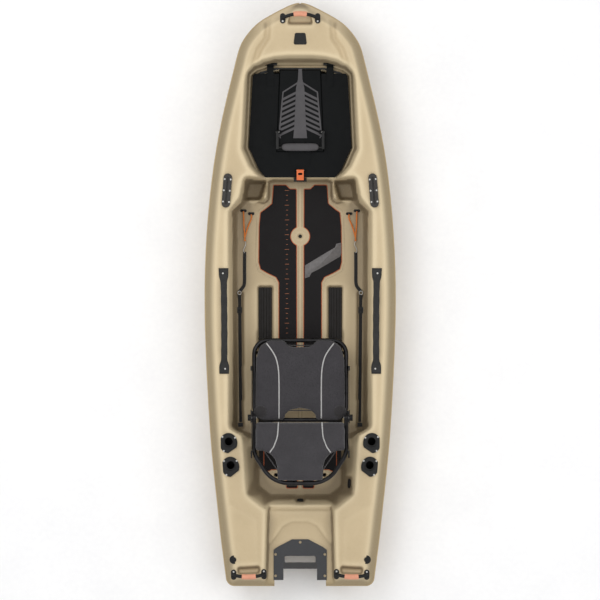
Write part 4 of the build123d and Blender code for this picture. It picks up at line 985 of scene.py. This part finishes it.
# each bungee runs from a pad-eye aft to the hook that both share
HOOK_X, HOOK_Y = 286, 279
CORDS = []
for x, y in ((293, 433), (253, 418)):
    middle = ((x + HOOK_X) / 2 + 1, (y + HOOK_Y) / 2, 138.4)
    CORDS.append([
        (x, y - 3, 139.5), (x - 1, y - 24, 139), middle,
        (HOOK_X + 0.3, HOOK_Y + 13, 139), (HOOK_X, HOOK_Y, 139.2),
    ])
parts = [sweep(smooth_path(path, 5), ring(4.0, 10)) for path in CORDS + [port(path) for path in CORDS]]
for side in (1, -1):
    ferrule = [(side * HOOK_X, HOOK_Y + ahead, z) for ahead, z in ((7, 139), (2, 139.2), (-3, 139.2))]
    parts.append(sweep(ferrule, ring(5.4, 12)))
bungees = add_piece("tie_bungees", *merge(parts), "bungee", "hull", "bungee_cord")
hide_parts("bungees")

# ---------------------------------------------------------------- printed marks on the mat
MAT_TOP = 138
INCH = 25.4
RULER_X = -68.5
TICK_SECTION = [(-1.1, -0.3), (1.1, -0.3), (1.1, 0.3), (-1.1, 0.3)]
ticks = []
for number in range(30):
    y = 538 - number * INCH
    reach = 11 if number % 3 == 0 else 5
    ends = [(RULER_X + end, y, MAT_TOP + 0.1) for end in (-reach, reach)]
    ticks.append(sweep(ends, TICK_SECTION))
STRIPE = [
    (24, 150), (60, 172), (180, 244), (186, 262), (212, 268), (213, 214), (206, 196), (90, 128), (58, 112),
    (48, 92), (24, 84),
]
stripe_points = [(x, y, MAT_TOP + lift) for lift in (0.05, 0.6) for x, y in STRIPE]
count = len(STRIPE)
stripe_faces = [tuple(range(count, 2 * count))] + walls(2, count)
add_piece("mat_stripe", stripe_points, stripe_faces, "print", "hull", "mat_foam")
add_piece("mat_ruler", *merge(ticks), "ruler", "hull", "mat_foam")


# ---------------------------------------------------------------- carry straps, hatch grip, grille and rails
SQUARENESS = 3.2  # 2 makes a loft's section an ellipse, and more makes it squarer


def loft(name, stations, key, body, slot, replaces=None):
    """A closed bar through (middle, half-width direction, half-width, half-height) stations."""
    points = []
    steps = 16
    for middle, across, width, height in stations:
        middle, across = Vector(middle), Vector(across).normalized()
        for k in range(steps):
            a = 2 * math.pi * k / steps
            c, d = math.cos(a), math.sin(a)
            squircle = (abs(c) ** SQUARENESS + abs(d) ** SQUARENESS) ** (-1 / SQUARENESS)
            points.append(middle + across * (c * squircle * width) + Vector((0, 0, d * squircle * height)))
    faces = walls(len(stations), steps)
    faces.append(tuple(reversed(range(steps))))
    faces.append(tuple((len(stations) - 1) * steps + k for k in range(steps)))
    piece = add_piece(name, points, faces, key, body, slot)
    if replaces:
        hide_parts(replaces)
    return piece


def strap_stations(side):
    """The rubber carry strap: flared ends screwed to the deck, and a narrower raised middle."""
    out = []
    for t in np.linspace(0, 1, 49):
        y = 136 - t * 544
        x = 394.8 - 2.2 * math.sin(math.pi * t) - 3.4 * t
        end = min(t, 1 - t)
        width = 25 - 9 * float(smooth((end - 0.07) / 0.07)) + 0.6 * math.cos(t * 40)
        lift = 3.2 + 13.5 * float(smooth((end - 0.07) / 0.14))
        out.append(((side * x, y, deck_height(y) + lift), (1, 0, 0), width, 2.9))
    return out


loft("carry_strap_web_starboard", strap_stations(1), "rubber", "hull", "rubber", "carry_straps")
loft("carry_strap_web_port", strap_stations(-1), "rubber", "hull", "rubber")


grip = []
for t in np.linspace(-1, 1, 41):
    fullness = max((1 - abs(t) ** 8) ** 0.5, 0.25)
    ripple = 1 + 0.03 * math.cos(t * 60)
    grip.append(((96 * t, 760, 265), (0, 1, 0), 20 * fullness * ripple, 12.5 * fullness * ripple))
loft("hatch_grip", grip, "grille", "hatch_handle", "grey_plastic", "bail_grip")

GRILLE_Z = 249.2
grille = []


def plate(points, low, high):
    """A flat plate from an outline, with its edge broken at the top."""
    count = len(points)
    small = inset(points, 0.7)
    levels = [(points, low), (points, high - 0.7), (small, high)]
    out = [(x, y, z) for outline, z in levels for x, y in outline]
    faces = [tuple(range(2 * count, 3 * count))] + walls(3, count)
    faces.append(tuple(reversed(range(count))))
    return out, faces


SPINE = [(9, 1165), (12, 1110), (22, 1064), (26, 960), (31, 860), (36, 806)]
grille.append(plate(mirrored(SPINE) + SPINE[::-1], GRILLE_Z, GRILLE_Z + 3.6))
RIB_PITCH = 26.5
RIB_FALL = 38  # how far aft a rib's tip lies of its root
RIB_FORE = 1070
for side in (1, -1):
    for number in range(1, 9):
        y = RIB_FORE - number * RIB_PITCH
        root = 14 + (RIB_FORE - y) * 0.075
        tip = 92 + (RIB_FORE - y) * 0.09 - max(0, y - 1040) * 0.9
        bar = [(root, y + 7), (tip, y - RIB_FALL + 7), (tip, y - RIB_FALL - 7), (root, y - 7)]
        bar = [(side * across, max(along, 802)) for across, along in bar]
        grille.append(plate(bar if side == -1 else bar[::-1], GRILLE_Z, GRILLE_Z + 2.8))
    edge = [(14, 1096), (92, 1046), (112, 830), (106, 806), (99, 806), (104, 830), (85, 1041), (14, 1086)]
    edge = [(side * x, y) for x, y in edge]
    grille.append(plate(edge if side == -1 else edge[::-1], GRILLE_Z, GRILLE_Z + 3.2))
grille_piece = add_piece("hatch_grille_ribs", *merge(grille), "grille", "hatch", "grey_plastic")
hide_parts("hatch_grille")
grille_piece.data.shade_flat()

cap_rings = [(9.5, 122.4), (9.5, 126.5), (8.2, 127.4), (4.6, 127.6), (3.8, 126.2)]
cap_points = [(x, y, z) for radius, z in cap_rings for x, y in circle(*HUB, radius, COARSE_TURN)]
count = COARSE_TURN - 1
cap_top = (len(cap_rings) - 1) * count
cap_faces = walls(len(cap_rings), count)
cap_faces += [tuple(reversed(range(count))), tuple(range(cap_top, cap_top + count))]
add_piece("hub_cap", cap_points, cap_faces, "dark", "hull", "dark_plastic")

RAIL_HALF = [(-34, 0), (-34, 8.5), (-31, 10.5), (-22, 10.5), (-20, 7), (-8, 7), (-6, 11.5)]
RAIL_SECTION = RAIL_HALF + [(-across, up) for across, up in reversed(RAIL_HALF)]
rails = [sweep([(side * 181, y, 114.2) for y in (37, -887)], RAIL_SECTION) for side in (1, -1)]
rail_piece = add_piece("seat_rail_tracks", *merge(rails), "rail", "hull", "anodised")
rail_piece.data.shade_flat()
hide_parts("seat_rails")

# ---------------------------------------------------------------- floor, light and camera
bpy.ops.mesh.primitive_plane_add(size=60)
floor = bpy.context.object
floor.name = "studio_floor"
floor.data.materials.append(MATERIALS["floor"])

world = bpy.data.worlds.new("studio")
bpy.context.scene.world = world
world.use_nodes = True
sky = world.node_tree.nodes["Background"]
sky.inputs["Color"].default_value = (1, 1, 1, 1)
sky.inputs["Strength"].default_value = 0.78


def lamp(name, place, aim, size, power):
    """A soft box that faces its aim, sized in metres, with its power in watts."""
    light = bpy.data.lights.new(name, "AREA")
    light.shape = "RECTANGLE"
    light.size, light.size_y = size
    light.energy = power
    piece = bpy.data.objects.new(name, light)
    piece.location = place
    piece.rotation_euler = (Vector(aim) - Vector(place)).to_track_quat("-Z", "Y").to_euler()
    bpy.context.scene.collection.objects.link(piece)


lamp("key", (-2.4, 2.2, 5.6), (0, 0, 0.2), (3.4, 3.4), 95)
lamp("fill", (3.0, -1.4, 5.0), (0, 0, 0.2), (3.8, 3.8), 42)
lamp("top", (0, 0, 6.5), (0, 0, 0), (5, 5), 45)

camera = bpy.data.cameras.new("camera")
camera.lens = 800
camera.sensor_width = 36
camera.clip_end = 200
viewer = bpy.data.objects.new("camera", camera)
viewer.location = (-0.001, -0.028, 69.0)
viewer.rotation_euler = (0, 0, 0)
bpy.context.scene.collection.objects.link(viewer)
bpy.context.scene.camera = viewer
bpy.context.scene.view_settings.view_transform = "Standard"
